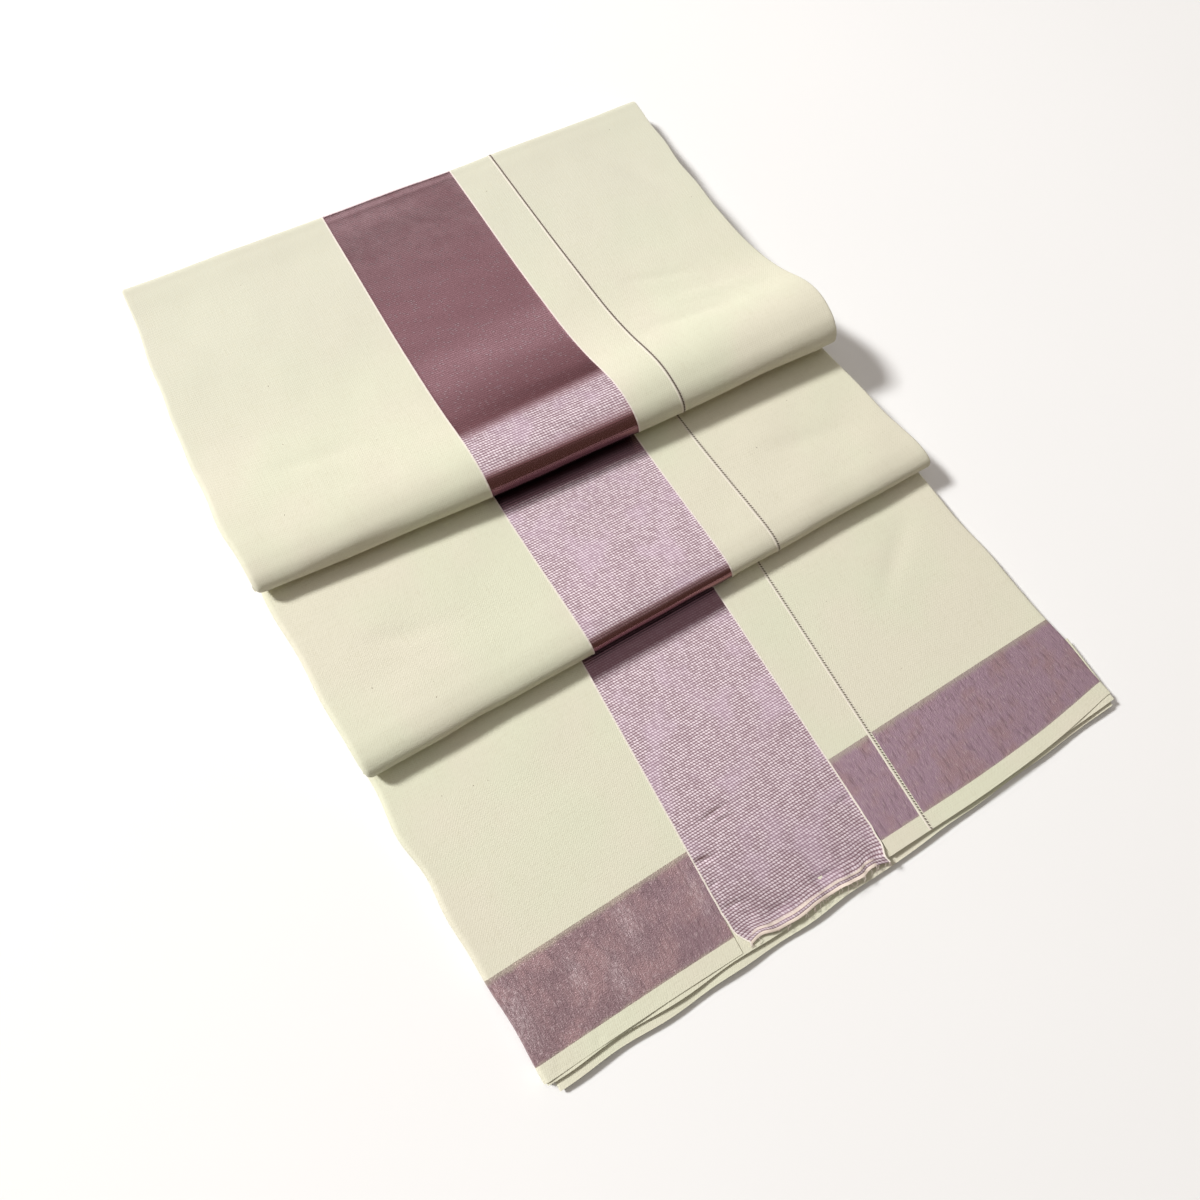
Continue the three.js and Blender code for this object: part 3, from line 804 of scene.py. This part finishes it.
FLOAT_PITCH = 0.00175
BAND_GROOVE_SHADE = (0.18, 0.065, 0.095, 1)
BAND_FLOAT_GLINT = (1.0, 0.87, 0.93, 1)
BAND_LILAC = (0.72, 0.54, 0.7, 1)
PRESSED_DEEP_SHADE = (0.43, 0.215, 0.24, 1)
PRESSED_SHADE = (0.72, 0.44, 0.5, 1)
PRESSED_SHEEN = (1.0, 0.76, 0.82, 1)
CREVICE_SHADE_COLOUR = (0.09, 0.04, 0.05, 1)
BAND_EDGE = (0.79, 0.73, 0.65, 1)
BAND_PALE = (0.86, 0.74, 0.64, 1)


def hump(look, share, sharpness):
    """One in the middle of a repeat, and nothing at its ends."""
    wave = look.math("SINE", look.times(share, pi))
    return look.math("POWER", wave, sharpness)


def band_look():
    """Metallic cords, each with short slanted floats, painted with glints on the floats and shade in the
    grooves. Pressed cloth hardly shows them.
    """
    look = Look("metallic_band")
    u, v = look.cloth()
    cords = look.math("DIVIDE", v, WEFT_PITCH)
    row = look.math("FLOOR", cords)
    in_row = look.math("FRACT", cords)
    drift = look.times(look.random(row, 0.0), 0.9)
    slant = look.plus(drift, look.times(in_row, 0.5))
    along = look.plus(look.math("DIVIDE", u, FLOAT_PITCH), slant)
    chance = look.random(look.math("FLOOR", along), row)
    strength = look.remap(chance, 0.0, 1.0, 1.0, 0.4)
    grain = look.times(hump(look, look.math("FRACT", along), 1.2), strength)
    cord = hump(look, in_row, 1.1)
    # Painted highlight and shade: glints on the floats, and dark grooves between the cords.
    float_relief_and_glint = look.times(cord, look.plus(0.36, look.times(grain, 1.1)))
    colour = look.mix(float_relief_and_glint, BAND_GROOVE_SHADE, BAND_FLOAT_GLINT)
    lilac = look.remap(look.noise(look.place(), 45.0, 2.0), 0.45, 0.7, 0.3)
    colour = look.mix(lilac, colour, BAND_LILAC)
    # Pressed cloth trades the weave colour for a painted shade, darkest just behind the crest and round
    # the roll fronts, and a painted sheen towards the back fold; a few grains keep their painted glints.
    pressed_and_shade = look.value("pressed_and_shade")
    y = look.split(look.place())[1]
    pressed_shading = look.mix(look.remap(y, 0.045, 0.11), PRESSED_DEEP_SHADE, PRESSED_SHADE)
    sheen = look.times(look.remap(y, 0.15, 0.262), look.noise(look.place(), 90.0, 3.0))
    pressed_shading = look.mix(look.times(sheen, 1.3), pressed_shading, PRESSED_SHEEN)
    sparkle = look.times(look.math("GREATER_THAN", chance, 0.88), look.remap(y, 0.05, 0.09))
    kept = look.minus(1.0, look.times(sparkle, 0.4))
    colour = look.mix(look.times(pressed_and_shade, kept), colour, pressed_shading)
    # Painted shade under and in front of the rolls, on their undersides and towards the near end of the
    # lower band.
    crevice_shade = look.value("crevice_shade")
    colour = look.mix(crevice_shade, colour, CREVICE_SHADE_COLOUR)
    pale_row = look.math("MODULO", row, 2.0)
    colour = look.mix(look.times(look.value("pale"), pale_row), colour, BAND_PALE)
    edge = look.value("edge")
    colour = look.mix(edge, colour, BAND_EDGE)
    bare = look.math("MAXIMUM", pressed_and_shade, look.remap(crevice_shade, 0.3, 0.9))
    metal = look.times(look.remap(bare, 0.0, 1.0, 1.0, 0.35), look.minus(1.0, edge))
    rough = look.plus(0.27, look.times(edge, 0.4))
    look.shade(Base_Color=colour, Metallic=metal, Roughness=rough)
    look.bump(float_relief_and_glint, 0.00002)
    return look.material


BORDER_ROSY = (0.33, 0.215, 0.235, 1)
BORDER_LILAC = (0.47, 0.32, 0.4, 1)
BORDER_ROSE = (0.47, 0.3, 0.31, 1)
BORDER_STREAK = (0.66, 0.52, 0.54, 1)
BORDER_DARK = (0.2, 0.125, 0.145, 1)
BORDER_SHEEN = (0.9, 0.76, 0.78, 1)


def border_look():
    """Tissue of metallic yarn and cotton: short fibres across the border, lilac and rosy."""
    look = Look("tissue_border")
    u, v = look.cloth()
    place = look.place()
    to_right = look.remap(look.split(place)[0], -0.14, 0.06)
    colour = look.mix(to_right, BORDER_ROSY, BORDER_LILAC)
    patches = look.remap(look.noise(place, 70.0, 3.0), 0.45, 0.7, 0.7)
    colour = look.mix(patches, colour, BORDER_ROSE)
    fine = look.fibres(u, v, 1700, 330, 3.0)
    coarse = look.fibres(u, v, 600, 110, 3.0)
    colour = look.mix(look.remap(fine, 0.5, 0.72, 0.65), colour, BORDER_STREAK)
    colour = look.mix(look.remap(coarse, 0.5, 0.3, 0.45), colour, BORDER_DARK)
    # Painted sheen in patches where the metallic yarn catches the light.
    sheen = look.times(look.value("painted_sheen"), look.remap(fine, 0.35, 0.6))
    colour = look.mix(sheen, colour, BORDER_SHEEN)
    fade_noise = look.times(look.noise(place, 160.0, 2.0), 0.003)
    from_near = look.minus(v, lower_s(BORDER_INNER_Y) - 0.0035)
    inner = look.remap(look.plus(from_near, fade_noise), 0.001, 0.0045, 0.5)
    from_far = look.minus(lower_s(BORDER_OUTER_Y) + 0.0015, v)
    outer = look.remap(look.plus(from_far, fade_noise), 0.001, 0.004, 0.5)
    colour = look.mix(look.math("MAXIMUM", inner, outer), colour, CREAM_DEEP)
    look.shade(Base_Color=colour, Metallic=0.62, Roughness=0.44)
    height = look.plus(fine, look.times(coarse, 0.6))
    look.bump(look.plus(height, look.noise(place, 1500.0, 1.0)), 0.00022)
    return look.material


THREAD_PALE = (0.72, 0.66, 0.58, 1)
THREAD_DARK = (0.095, 0.068, 0.05, 1)


def thread_line_look():
    look = Look("thread_line")
    u, v = look.cloth()
    colour, slubs = cotton_colour(look, u, v)
    colour = look.mix(look.value("pale"), colour, THREAD_PALE)
    colour = look.mix(look.value("dark"), colour, THREAD_DARK)
    metal = look.times(look.value("dark"), 0.3)
    look.shade(Base_Color=colour, Roughness=0.7, Metallic=metal)
    look.bump(look.plus(slubs, look.noise(look.place(), 2500.0, 1.0)), 0.0001)
    return look.material


def plain_look(name, dark, light, scale, roughness):
    """A finish that varies between two colours."""
    look = Look(name)
    grain = look.noise(look.place(), scale, 3.0)
    look.shade(Base_Color=look.mix(look.remap(grain, 0.3, 0.7), dark, light), Roughness=roughness)
    look.bump(grain, 0.0001)
    return look.material


# ---- pieces

def flat_size(points):
    """Width and length of the cloth of a patch, laid flat."""
    middle_row = points[len(points) // 2]
    middle_column = points[:, points.shape[1] // 2]
    width = np.linalg.norm(np.diff(middle_row, axis=0), axis=1).sum()
    length = np.linalg.norm(np.diff(middle_column, axis=0), axis=1).sum()
    return float(width), float(length)


def place_piece(piece, node=None):
    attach(piece, ROOT)
    if node:
        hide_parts(node)
    return piece


# Where the border's metallic yarn has a painted sheen, for the light it catches: place, and reach across
# and along.
SHEEN_PATCHES = [
    (-0.1145, -0.222, 0.005, 0.014),
    (-0.1315, -0.243, 0.0045, 0.012),
    (-0.15, -0.23, 0.0035, 0.01),
    (-0.185, -0.233, 0.006, 0.016),
    (-0.074, -0.23, 0.003, 0.012),
]
SHEEN_MOST = 0.33


def painted_sheen_share(points):
    x, y = points[..., 0], points[..., 1]
    share = np.zeros_like(x)
    for x0, y0, reach_x, reach_y in SHEEN_PATCHES:
        share += SHEEN_MOST * np.exp(-((x - x0) / reach_x) ** 2 - ((y - y0) / reach_y) ** 2)
    return np.clip(share, 0, 1)


def cloth_patch(tier, s, columns):
    points = stretch_points(tier, s, columns)
    return Patch(points, cloth_coords(points, s), {})


def add_plain(node, tier, line_from, line_to, s, slot, material):
    patch = cloth_patch(tier, s, stretch_columns(tier, line_from, line_to, BODY_PITCH))
    if slot == "border_tissue":
        patch.values["painted_sheen"] = painted_sheen_share(patch.points)
    piece = make_piece("saree_" + node, [patch], material)
    return place_piece(piece, node), flat_size(patch.points)


def band_columns(tier):
    """Columns across the band, close together at the thread along each of its sides."""
    steps = round(BAND_WIDTH / BAND_PITCH)
    thread = [EDGE_THREAD * k / EDGE_STEPS for k in range(EDGE_STEPS + 1)]
    columns = [Column(0, shift=shift) for shift in thread]
    for k in range(1, steps):
        columns.append(Column(k / steps, shift=EDGE_THREAD * (1 - 2 * k / steps)))
    columns += [Column(1, shift=-shift) for shift in thread[::-1]]
    return line_edge(tier, "band_left"), line_edge(tier, "band_right"), columns


def cord_height(s):
    """Cords side by side, nearly flat on top, with narrow grooves between them."""
    phase = np.mod(s / WEFT_PITCH + 1e-6, 1.0)
    return WEFT_HEIGHT * np.interp(phase, WEFT_STEPS + (1.0,), WEFT_PROFILE + (0.0,))


def edge_share(points):
    """One on the threads along the sides of the band, and nothing between them."""
    share = np.zeros(points.shape[:2])
    share[:, :EDGE_STEPS] = 1
    share[:, -EDGE_STEPS:] = 1
    return share


def pucker(points, start_y):
    """The near end of the band gathers: its rows wave, and its edge lifts and is drawn in."""
    x, y, z = (points[..., k].copy() for k in range(3))
    inward = np.maximum(y - start_y, 0)
    near = np.exp(-inward / PUCKER_REACH)
    lift = END_LIFT * np.exp(-inward / END_LIFT_REACH)
    share = (x - x[:, :1]) / (x[:, -1:] - x[:, :1])
    wave = sum(part * np.sin(tau * x / length + phase) for length, phase, part in PUCKER_WAVES)
    slow = np.sin(tau * (x / ROLL_X + y / ROLL_Y) + 1.0)
    z = z + PUCKER_RISE * near * wave + PUCKER_ROLL * near * slow + lift
    y = y + (BAND_END_CURVE(x)[..., 0] - BAND_END_Y) * np.exp(-inward / END_REACH)
    y = y + PUCKER_SWAY * near * np.sin(tau * x / SWAY_X + 0.3)
    drawn = np.exp(-inward / CORNER_REACH)
    x = x + drawn * (CORNER_DRAW[0] * (1 - share) ** 4 - CORNER_DRAW[1] * share ** 4)
    x = x + SIDE_SWAY * near * np.sin(tau * y / SIDE_SWAY_Y)
    return np.stack([x, y, z], axis=-1)


def pale_share(points, end_y):
    depth = np.interp(points[..., 0], *zip(*PALE_DEPTH))
    return np.clip(PALE_FADE - (points[..., 1] - end_y) / np.maximum(depth, 1e-5), 0, 1) * (depth > 0)


CREST_Y = 0.053  # behind the crest of the top roll the band lies pressed flat, under a painted shade and sheen
PRESSED_SHADE_FROM, PRESSED_SHADE_MOST = 0.009, 0.95
PRESSED_CORDS = 0.8  # how much lower its cords are
FRONT_TILT, FRONT_TILT_FADE = 0.2, 0.28  # and so it does round the front of a roll, where it takes the painted shade
# Painted shade in the crevice in front of a roll: where it fades out at the band's left and right side.
CREVICE_SHADE_Y = {"middle": (0.008, 0.001), "lower": (-0.106, -0.107)}
CREVICE_SHADE_FADE, CREVICE_SHADE_MOST = 0.007, 0.93
# The underside of a roll, by its tilt, takes a painted shade as dark where it turns in.
UNDERSIDE_SHADE, UNDERSIDE_SHADE_FADE, UNDERSIDE_SHADE_MOST = 0.66, 0.3, 0.9
# Painted shade that fades out from the near end of the lower band.
NEAR_END_SHADE, NEAR_END_REACH = 0.26, 0.05


# Where the band lies pressed: lower cords, and a painted shade and sheen in its colour.
def pressed_and_shade_share(tier, points, normals):
    share = np.clip((-normals[..., 1] - FRONT_TILT) / FRONT_TILT_FADE, 0, 1)
    if tier == "top":
        behind = np.clip((points[..., 1] - CREST_Y) / PRESSED_SHADE_FROM, 0, 1)
        share = np.maximum(share, PRESSED_SHADE_MOST * behind)
    return share


# Painted shade: where the band is darkened under and in front of the rolls.
def crevice_shade_share(tier, points, normals):
    share = UNDERSIDE_SHADE_MOST * np.clip((UNDERSIDE_SHADE - normals[..., 2]) / UNDERSIDE_SHADE_FADE, 0, 1)
    if tier in CREVICE_SHADE_Y:
        across = np.linspace(0, 1, points.shape[1])
        left, right = CREVICE_SHADE_Y[tier]
        deep = (points[..., 1] - (left + (right - left) * across)) / CREVICE_SHADE_FADE
        share = np.maximum(share, CREVICE_SHADE_MOST * np.clip(deep, 0, 1))
    if tier == "lower":
        near_end = np.exp(-(points[..., 1] - BAND_END_Y) / NEAR_END_REACH)
        share = np.maximum(share, NEAR_END_SHADE * near_end)
    return share


def band_rows(start, end):
    cords = np.arange(ceil(start / WEFT_PITCH), floor(end / WEFT_PITCH))
    return (cords[:, None] + np.array(WEFT_STEPS)).ravel() * WEFT_PITCH


def add_band(node, tier, start, end, material):
    s = band_rows(start, end)
    columns = band_columns(tier)
    points = stretch_points(tier, s, columns)
    if tier == "lower":
        points = pucker(points, BAND_END_Y)
    flat = flat_size(points)
    edge = edge_share(points)
    normals = grid_normals(points)
    pressed_and_shade = pressed_and_shade_share(tier, points, normals)
    height = cord_height(s)[:, None] * (1 - edge) * (1 - PRESSED_CORDS * pressed_and_shade)
    bead = 0.6 + 0.4 * np.sin(tau * s / BEAD_PITCH)[:, None]
    height = height + edge * BEAD_HEIGHT * bead
    pale = np.zeros_like(edge)
    if tier == "lower":
        pale = pale_share(points, BAND_END_CURVE(points[..., 0])[..., 0])
    raised = points + normals * height[..., None]
    crevice_shade = crevice_shade_share(tier, points, normals)
    values = {"edge": edge, "pale": pale, "pressed_and_shade": pressed_and_shade, "crevice_shade": crevice_shade}
    patch = Patch(raised, cloth_coords(points, s), values)
    piece = make_piece("saree_" + node, [patch], material)
    return place_piece(piece, node), flat, points


def arch(at, middle, half):
    """One high over the middle of a stretch, and nothing beside it."""
    return np.sqrt(np.maximum(1 - ((at - middle) / half) ** 2, 0))


def add_thread_line(node, tier, start, end, material):
    """A narrow strip with a raised pale cord on the left and dark dashes beside it."""
    s = spaced(start, end, DASH_PITCH / DASH_STEPS)
    place = np.linspace(-LINE_WIDTH / 2, LINE_WIDTH / 2, LINE_POINTS)
    edge = line_edge(tier, "thread_line")
    points = stretch_points(tier, s, (edge, edge, [Column(0, shift=shift) for shift in place]))
    phase = np.mod(s[:, None] / DASH_PITCH + 0.3 * (place - DASH_X) / DASH_HALF, 1.0)
    cord = arch(place, CORD_X, CORD_HALF) * (0.8 + 0.2 * np.cos(2 * tau * phase))
    cord = np.maximum(cord, 0.6 * arch(place, FAR_CORD_X, FAR_CORD_HALF))
    along = np.maximum(arch(phase, DASH_MIDDLE, DASH_LENGTH[tier]), GAP_DARK[tier])
    dash = arch(place, DASH_X, DASH_HALF) * along
    height = CORD_RISE * cord + DASH_RISE * dash
    raised = points + grid_normals(points) * height[..., None]
    values = {"pale": np.clip(cord * 1.5, 0, 1), "dark": np.clip(dash * 2.2, 0, 1)}
    patch = Patch(raised, cloth_coords(points, s), values)
    return place_piece(make_piece("saree_" + node, [patch], material), node)


def ring_patch(layer):
    """One folded layer under the near edge: a flat loop of cloth, seen from its cut end."""
    z, thick, inset_left, inset_right, front_left, front_middle, front_right = layer
    radius = thick / 2
    front = Curve(EDGE_LAYER_X, [[front_left], [front_middle], [front_middle], [front_right]])
    turns = np.linspace(pi / 2, 3 * pi / 2, 9)
    shares = np.linspace(0, 1, EDGE_LAYER_STEPS)
    depth = np.linspace(0, 1, EDGE_LAYER_ROWS) ** 1.5
    section = [(share, 0.0, radius) for share in shares[::-1]]
    section += [(0.0, radius * cos(t), radius * sin(t)) for t in turns[1:-1]]
    section += [(share, 0.0, -radius) for share in shares]
    section += [(1.0, -radius * cos(t), -radius * sin(t)) for t in turns[1:-1]]
    section.append(section[0])
    share, dx, dz = (np.array(v)[None, :] for v in zip(*section[::-1]))
    left = line_x("lower", "left", np.array(NEAR_Y)) + inset_left + radius
    right = line_x("lower", "right", np.array(NEAR_Y)) - inset_right - radius
    x = left + (right - left) * share + dx
    front_y = front(x)[..., 0] + EDGE_LAYER_WAVER * wobble(x, 3.0 + 40 * z)
    y = front_y + (EDGE_LAYER_FAR_Y - front_y) * depth[:, None]
    lift = EDGE_LAYER_LIFT * wobble(x, 5.0 + 40 * z) * (1 - depth[:, None])
    points = np.stack([x + 0 * y, y, z - radius + dz + lift + 0 * y], axis=-1)
    return Patch(points, cloth_coords(points, depth * 0.04), {})


def hidden_patches():
    """The runs of the packet that are out of sight but for their side folds."""
    lower, middle, top = (SECTION[tier] for tier in TIERS)
    patches = []
    for tier, start, end in (
        ("lower", lower_s(LOWER_FAR_Y) - HIDDEN_OVERLAP / 2, lower.s[-1]),
        ("middle", 0.0, middle.start + HIDDEN_OVERLAP),
        ("middle", middle.end - HIDDEN_OVERLAP, middle.s[-1]),
        ("top", 0.0, top.start + HIDDEN_OVERLAP),
    ):
        columns = stretch_columns(tier, "left", "right", HIDDEN_PITCH)
        patches.append(cloth_patch(tier, spaced(start, end, HIDDEN_ROW_PITCH), columns))
    for tier in TIERS:
        edge = line_edge(tier, "right")
        columns = second_fold_columns(DEEP_RETURN if tier == "top" else RETURN)
        s = spaced(0.0, SECTION[tier].s[-1], SECOND_FOLD_PITCH)
        patches.append(cloth_patch(tier, s, (edge, edge, columns)))
    return patches


def tube(path, radius, sides=5):
    """A thin thread along a path: its points and faces."""
    path = np.array(path)
    ahead = np.gradient(path, axis=0)
    ahead /= np.linalg.norm(ahead, axis=1, keepdims=True)
    side = np.cross(ahead, [0.31, 0.17, 0.93])
    side /= np.linalg.norm(side, axis=1, keepdims=True)
    up = np.cross(side, ahead)
    turn = np.arange(sides) * tau / sides
    ring = np.cos(turn)[None, :, None] * side[:, None] + np.sin(turn)[None, :, None] * up[:, None]
    points = (path[:, None] + radius * ring).reshape(-1, 3)
    index = np.arange(len(path) * sides).reshape(len(path), sides)
    following = np.roll(index, -1, axis=1)
    faces = np.stack([index[:-1], following[:-1], following[1:], index[1:]], -1).reshape(-1, 4)
    ends = [list(index[0][::-1]), list(index[-1])]
    return points, faces.tolist() + ends


def join(parts):
    """Points and faces of several parts together."""
    vertices, faces = [], []
    for points, loops in parts:
        faces += [[k + len(vertices) for k in loop] for loop in loops]
        vertices += list(points)
    return np.array(vertices), faces


def add_loose_threads(band_points, material):
    """Frayed ends along the puckered edge."""
    rng = np.random.default_rng(SEED + 20)
    edge = band_points[0]
    t = np.linspace(0, 1, 7)[:, None]
    parts = []
    for _ in range(LOOSE_THREADS):
        start = edge[rng.integers(3, len(edge) - 3)]
        reach = rng.uniform(*THREAD_REACH)
        lean = rng.uniform(*THREAD_LEAN)
        drop = rng.uniform(*THREAD_DROP)
        path = start + np.array([lean, -reach, 0]) * t - np.array([0, 0, drop]) * t ** 2
        path = path + np.array(THREAD_CURL) * np.sin(t * pi * rng.uniform(1, 2.5))
        parts.append(tube(path, THREAD_RADIUS))
    return mesh_object("loose_threads", *join(parts), material)


def speck(centre, rng):
    """A small flat fleck: its points and faces."""
    size = rng.uniform(*SPECK_SIZE)
    angle = rng.uniform(0, tau, 6) * 0.15 + np.arange(6) * tau / 6
    radius = size * rng.uniform(0.5, 1.0, 6)
    rim = [[cos(a) * r, sin(a) * r, SPECK_RIM] for a, r in zip(angle, radius)]
    low = [[x * 0.8, y * 0.8, SPECK_FOOT] for x, y, _ in rim]
    faces = []
    for k in range(6):
        after = (k + 1) % 6
        faces += [[k, after, 12], [k, 6 + k, 6 + after, after]]
    faces.append([11, 10, 9, 8, 7, 6])
    return centre + np.array(rim + low + [[0, 0, SPECK_TOP]]), faces


def add_specks(material):
    rng = np.random.default_rng(SEED + 30)
    places = list(SPECKS)
    for _ in range(SCATTERED_SPECKS):
        tier = TIERS[rng.integers(0, 3)]
        side = (-0.18, -0.08) if rng.random() < 0.5 else (0.08, 0.17)
        places.append((tier, rng.uniform(*side), rng.uniform(*SPECK_SPAN[tier])))
    parts = []
    for tier, x, y in places:
        s = np.array([SECTION[tier].upper_s(y, FRONT_ROW[tier])])
        fixed = lambda at, x=x: np.full_like(at, x)
        centre = stretch_points(tier, s, (fixed, fixed, [Column(0)]))[0, 0]
        parts.append(speck(centre, rng))
    return mesh_object("seed_specks", *join(parts), material)


# ---- the saree

SPANS = (("left", "left", "band_left"), ("centre", "band_right", "thread_line"),
         ("right", "thread_line", "right"))


def tier_strips(tier):
    """Each strip along the tier: name, where it starts and ends, slot and look."""
    if tier != "lower":
        return [("body", SECTION[tier].start, SECTION[tier].end, "cotton_body", "cotton")]
    near, outer, inner, far = map(lower_s, (NEAR_Y, BORDER_OUTER_Y, BORDER_INNER_Y, LOWER_FAR_Y))
    return [
        ("body", inner, far, "cotton_body", "cotton"),
        ("border", outer, inner, "border_tissue", "border"),
        ("selvedge", near, outer, "cotton_body", "selvedge"),
    ]


def add_tier(tier, start, looks):
    strips = tier_strips(tier)
    end = strips[0][2]
    line = add_thread_line(f"{tier}_thread_line", tier, strips[-1][1], end, looks["line"])
    for side, line_from, line_to in SPANS:
        for strip, strip_start, strip_end, slot, look in strips:
            s = spaced(strip_start, strip_end, ROW_PITCH)
            node = f"{tier}_{strip}_{side}"
            add_plain(node, tier, line_from, line_to, s, slot, looks[look])
    band, flat, points = add_band(f"{tier}_band", tier, start, end, looks["band"])
    threads = []
    if tier == "lower":
        threads = [place_piece(add_loose_threads(points, looks["loose"]))]


def add_hidden_layers(looks):
    patches = hidden_patches()
    piece = make_piece("saree_hidden_layers", patches, looks["cotton"])
    place_piece(piece, "hidden_layers")


def add_edge_layers(looks):
    for k, layer in enumerate(EDGE_LAYERS):
        patch = ring_patch(layer)
        piece = make_piece(f"saree_edge_layer_{k + 1}", [patch], looks["selvedge"], wall=EDGE_LAYER_WALL)
        place_piece(piece)


# ---- the studio

FLOOR_SIZE = 16.0
# Area lights: name, place, what they face, width and height, and radiance.
LIGHTS = [
    ("key", (-3.2, 3.31, 3.81), (0.0, 0.0, 0.0), (0.85, 0.85), 190.0),
    ("overhead", (0.35, 0.65, 2.4), (0.35, 0.65, 0.0), (3.1, 2.5), 0.72),
    ("front", (0.35, -1.05, 2.4), (0.35, -1.05, 0.0), (3.1, 0.9), 0.36),
]
# The room's brightness: how far to the back a direction points, and the colour there.
ROOM = [
    (0.0, (0.11, 0.082, 0.055, 1)),
    (0.64, (0.15, 0.115, 0.105, 1)),
    (0.72, (0.46, 0.35, 0.35, 1)),
    (0.78, (0.28, 0.21, 0.21, 1)),
    (0.87, (0.09, 0.065, 0.06, 1)),
]
HORIZON = (0.55, 0.5, 0.44, 1)
HORIZON_FROM, HORIZON_TO = 0.14, 0.03
HORIZON_FRONT, HORIZON_SIDE = -0.45, -0.1  # it fades out towards the front


def add_floor():
    half = FLOOR_SIZE / 2
    corners = np.array([(-half, -half, 0), (half, -half, 0), (half, half, 0), (-half, half, 0)])
    look = Look("floor")
    grain = look.noise(look.place(), 3.0, 2.0)
    look.shade(Base_Color=look.mix(grain, (0.88, 0.88, 0.87, 1), (0.91, 0.91, 0.9, 1)), Roughness=0.7)
    look.shade(Specular_IOR_Level=0.1)
    floor = mesh_object("floor", corners, [[0, 1, 2, 3]], look.material)


def add_lights():
    for name, place, target, size, radiance in LIGHTS:
        data = bpy.data.lights.new(name, "AREA")
        data.shape = "RECTANGLE"
        data.size, data.size_y = size
        data.energy = radiance * pi * size[0] * size[1]
        light = add_object(name, data)
        light.location = place
        light.rotation_euler = (Vector(place) - Vector(target)).to_track_quat("Z", "Y").to_euler()


def add_world():
    """A dim warm room, brighter high at the back, with a pale band low down all round."""
    world = bpy.data.worlds.new("studio")
    nodes = Nodes(world)
    _, y, z = nodes.split(nodes.node("TexCoord").outputs["Generated"])
    room = nodes.node("ValToRGB", {0: y})
    stops = room.color_ramp.elements
    while len(stops) < len(ROOM):
        stops.new(0.5)
    for stop, (position, colour) in zip(stops, ROOM):
        stop.position, stop.color = position, colour
    low = nodes.remap(z, HORIZON_FROM, HORIZON_TO)
    share = nodes.times(low, nodes.remap(y, HORIZON_FRONT, HORIZON_SIDE))
    colour = nodes.mix(share, room.outputs[0], HORIZON)
    nodes.feed(nodes.tree.nodes["Background"].inputs[0], colour)
    bpy.context.scene.world = world


def build():
    add_camera()
    add_floor()
    add_lights()
    add_world()
    bpy.context.scene.view_settings.view_transform = "Standard"
    looks = {
        "cotton": cotton_look(),
        "selvedge": cotton_look("selvedge", 0.0006),
        "band": band_look(),
        "border": border_look(),
        "line": thread_line_look(),
        "loose": plain_look("loose_threads", (0.62, 0.48, 0.46, 1), (0.82, 0.74, 0.66, 1), 300, 0.6),
        "speck": plain_look("seed_husk", (0.1, 0.07, 0.04, 1), (0.22, 0.15, 0.09, 1), 900, 0.8),
    }
    add_tier("lower", lower_s(BAND_END_Y), looks)
    add_tier("middle", SECTION["middle"].start, looks)
    add_tier("top", SECTION["top"].start, looks)
    add_hidden_layers(looks)
    add_edge_layers(looks)
    place_piece(add_specks(looks["speck"]))


build()
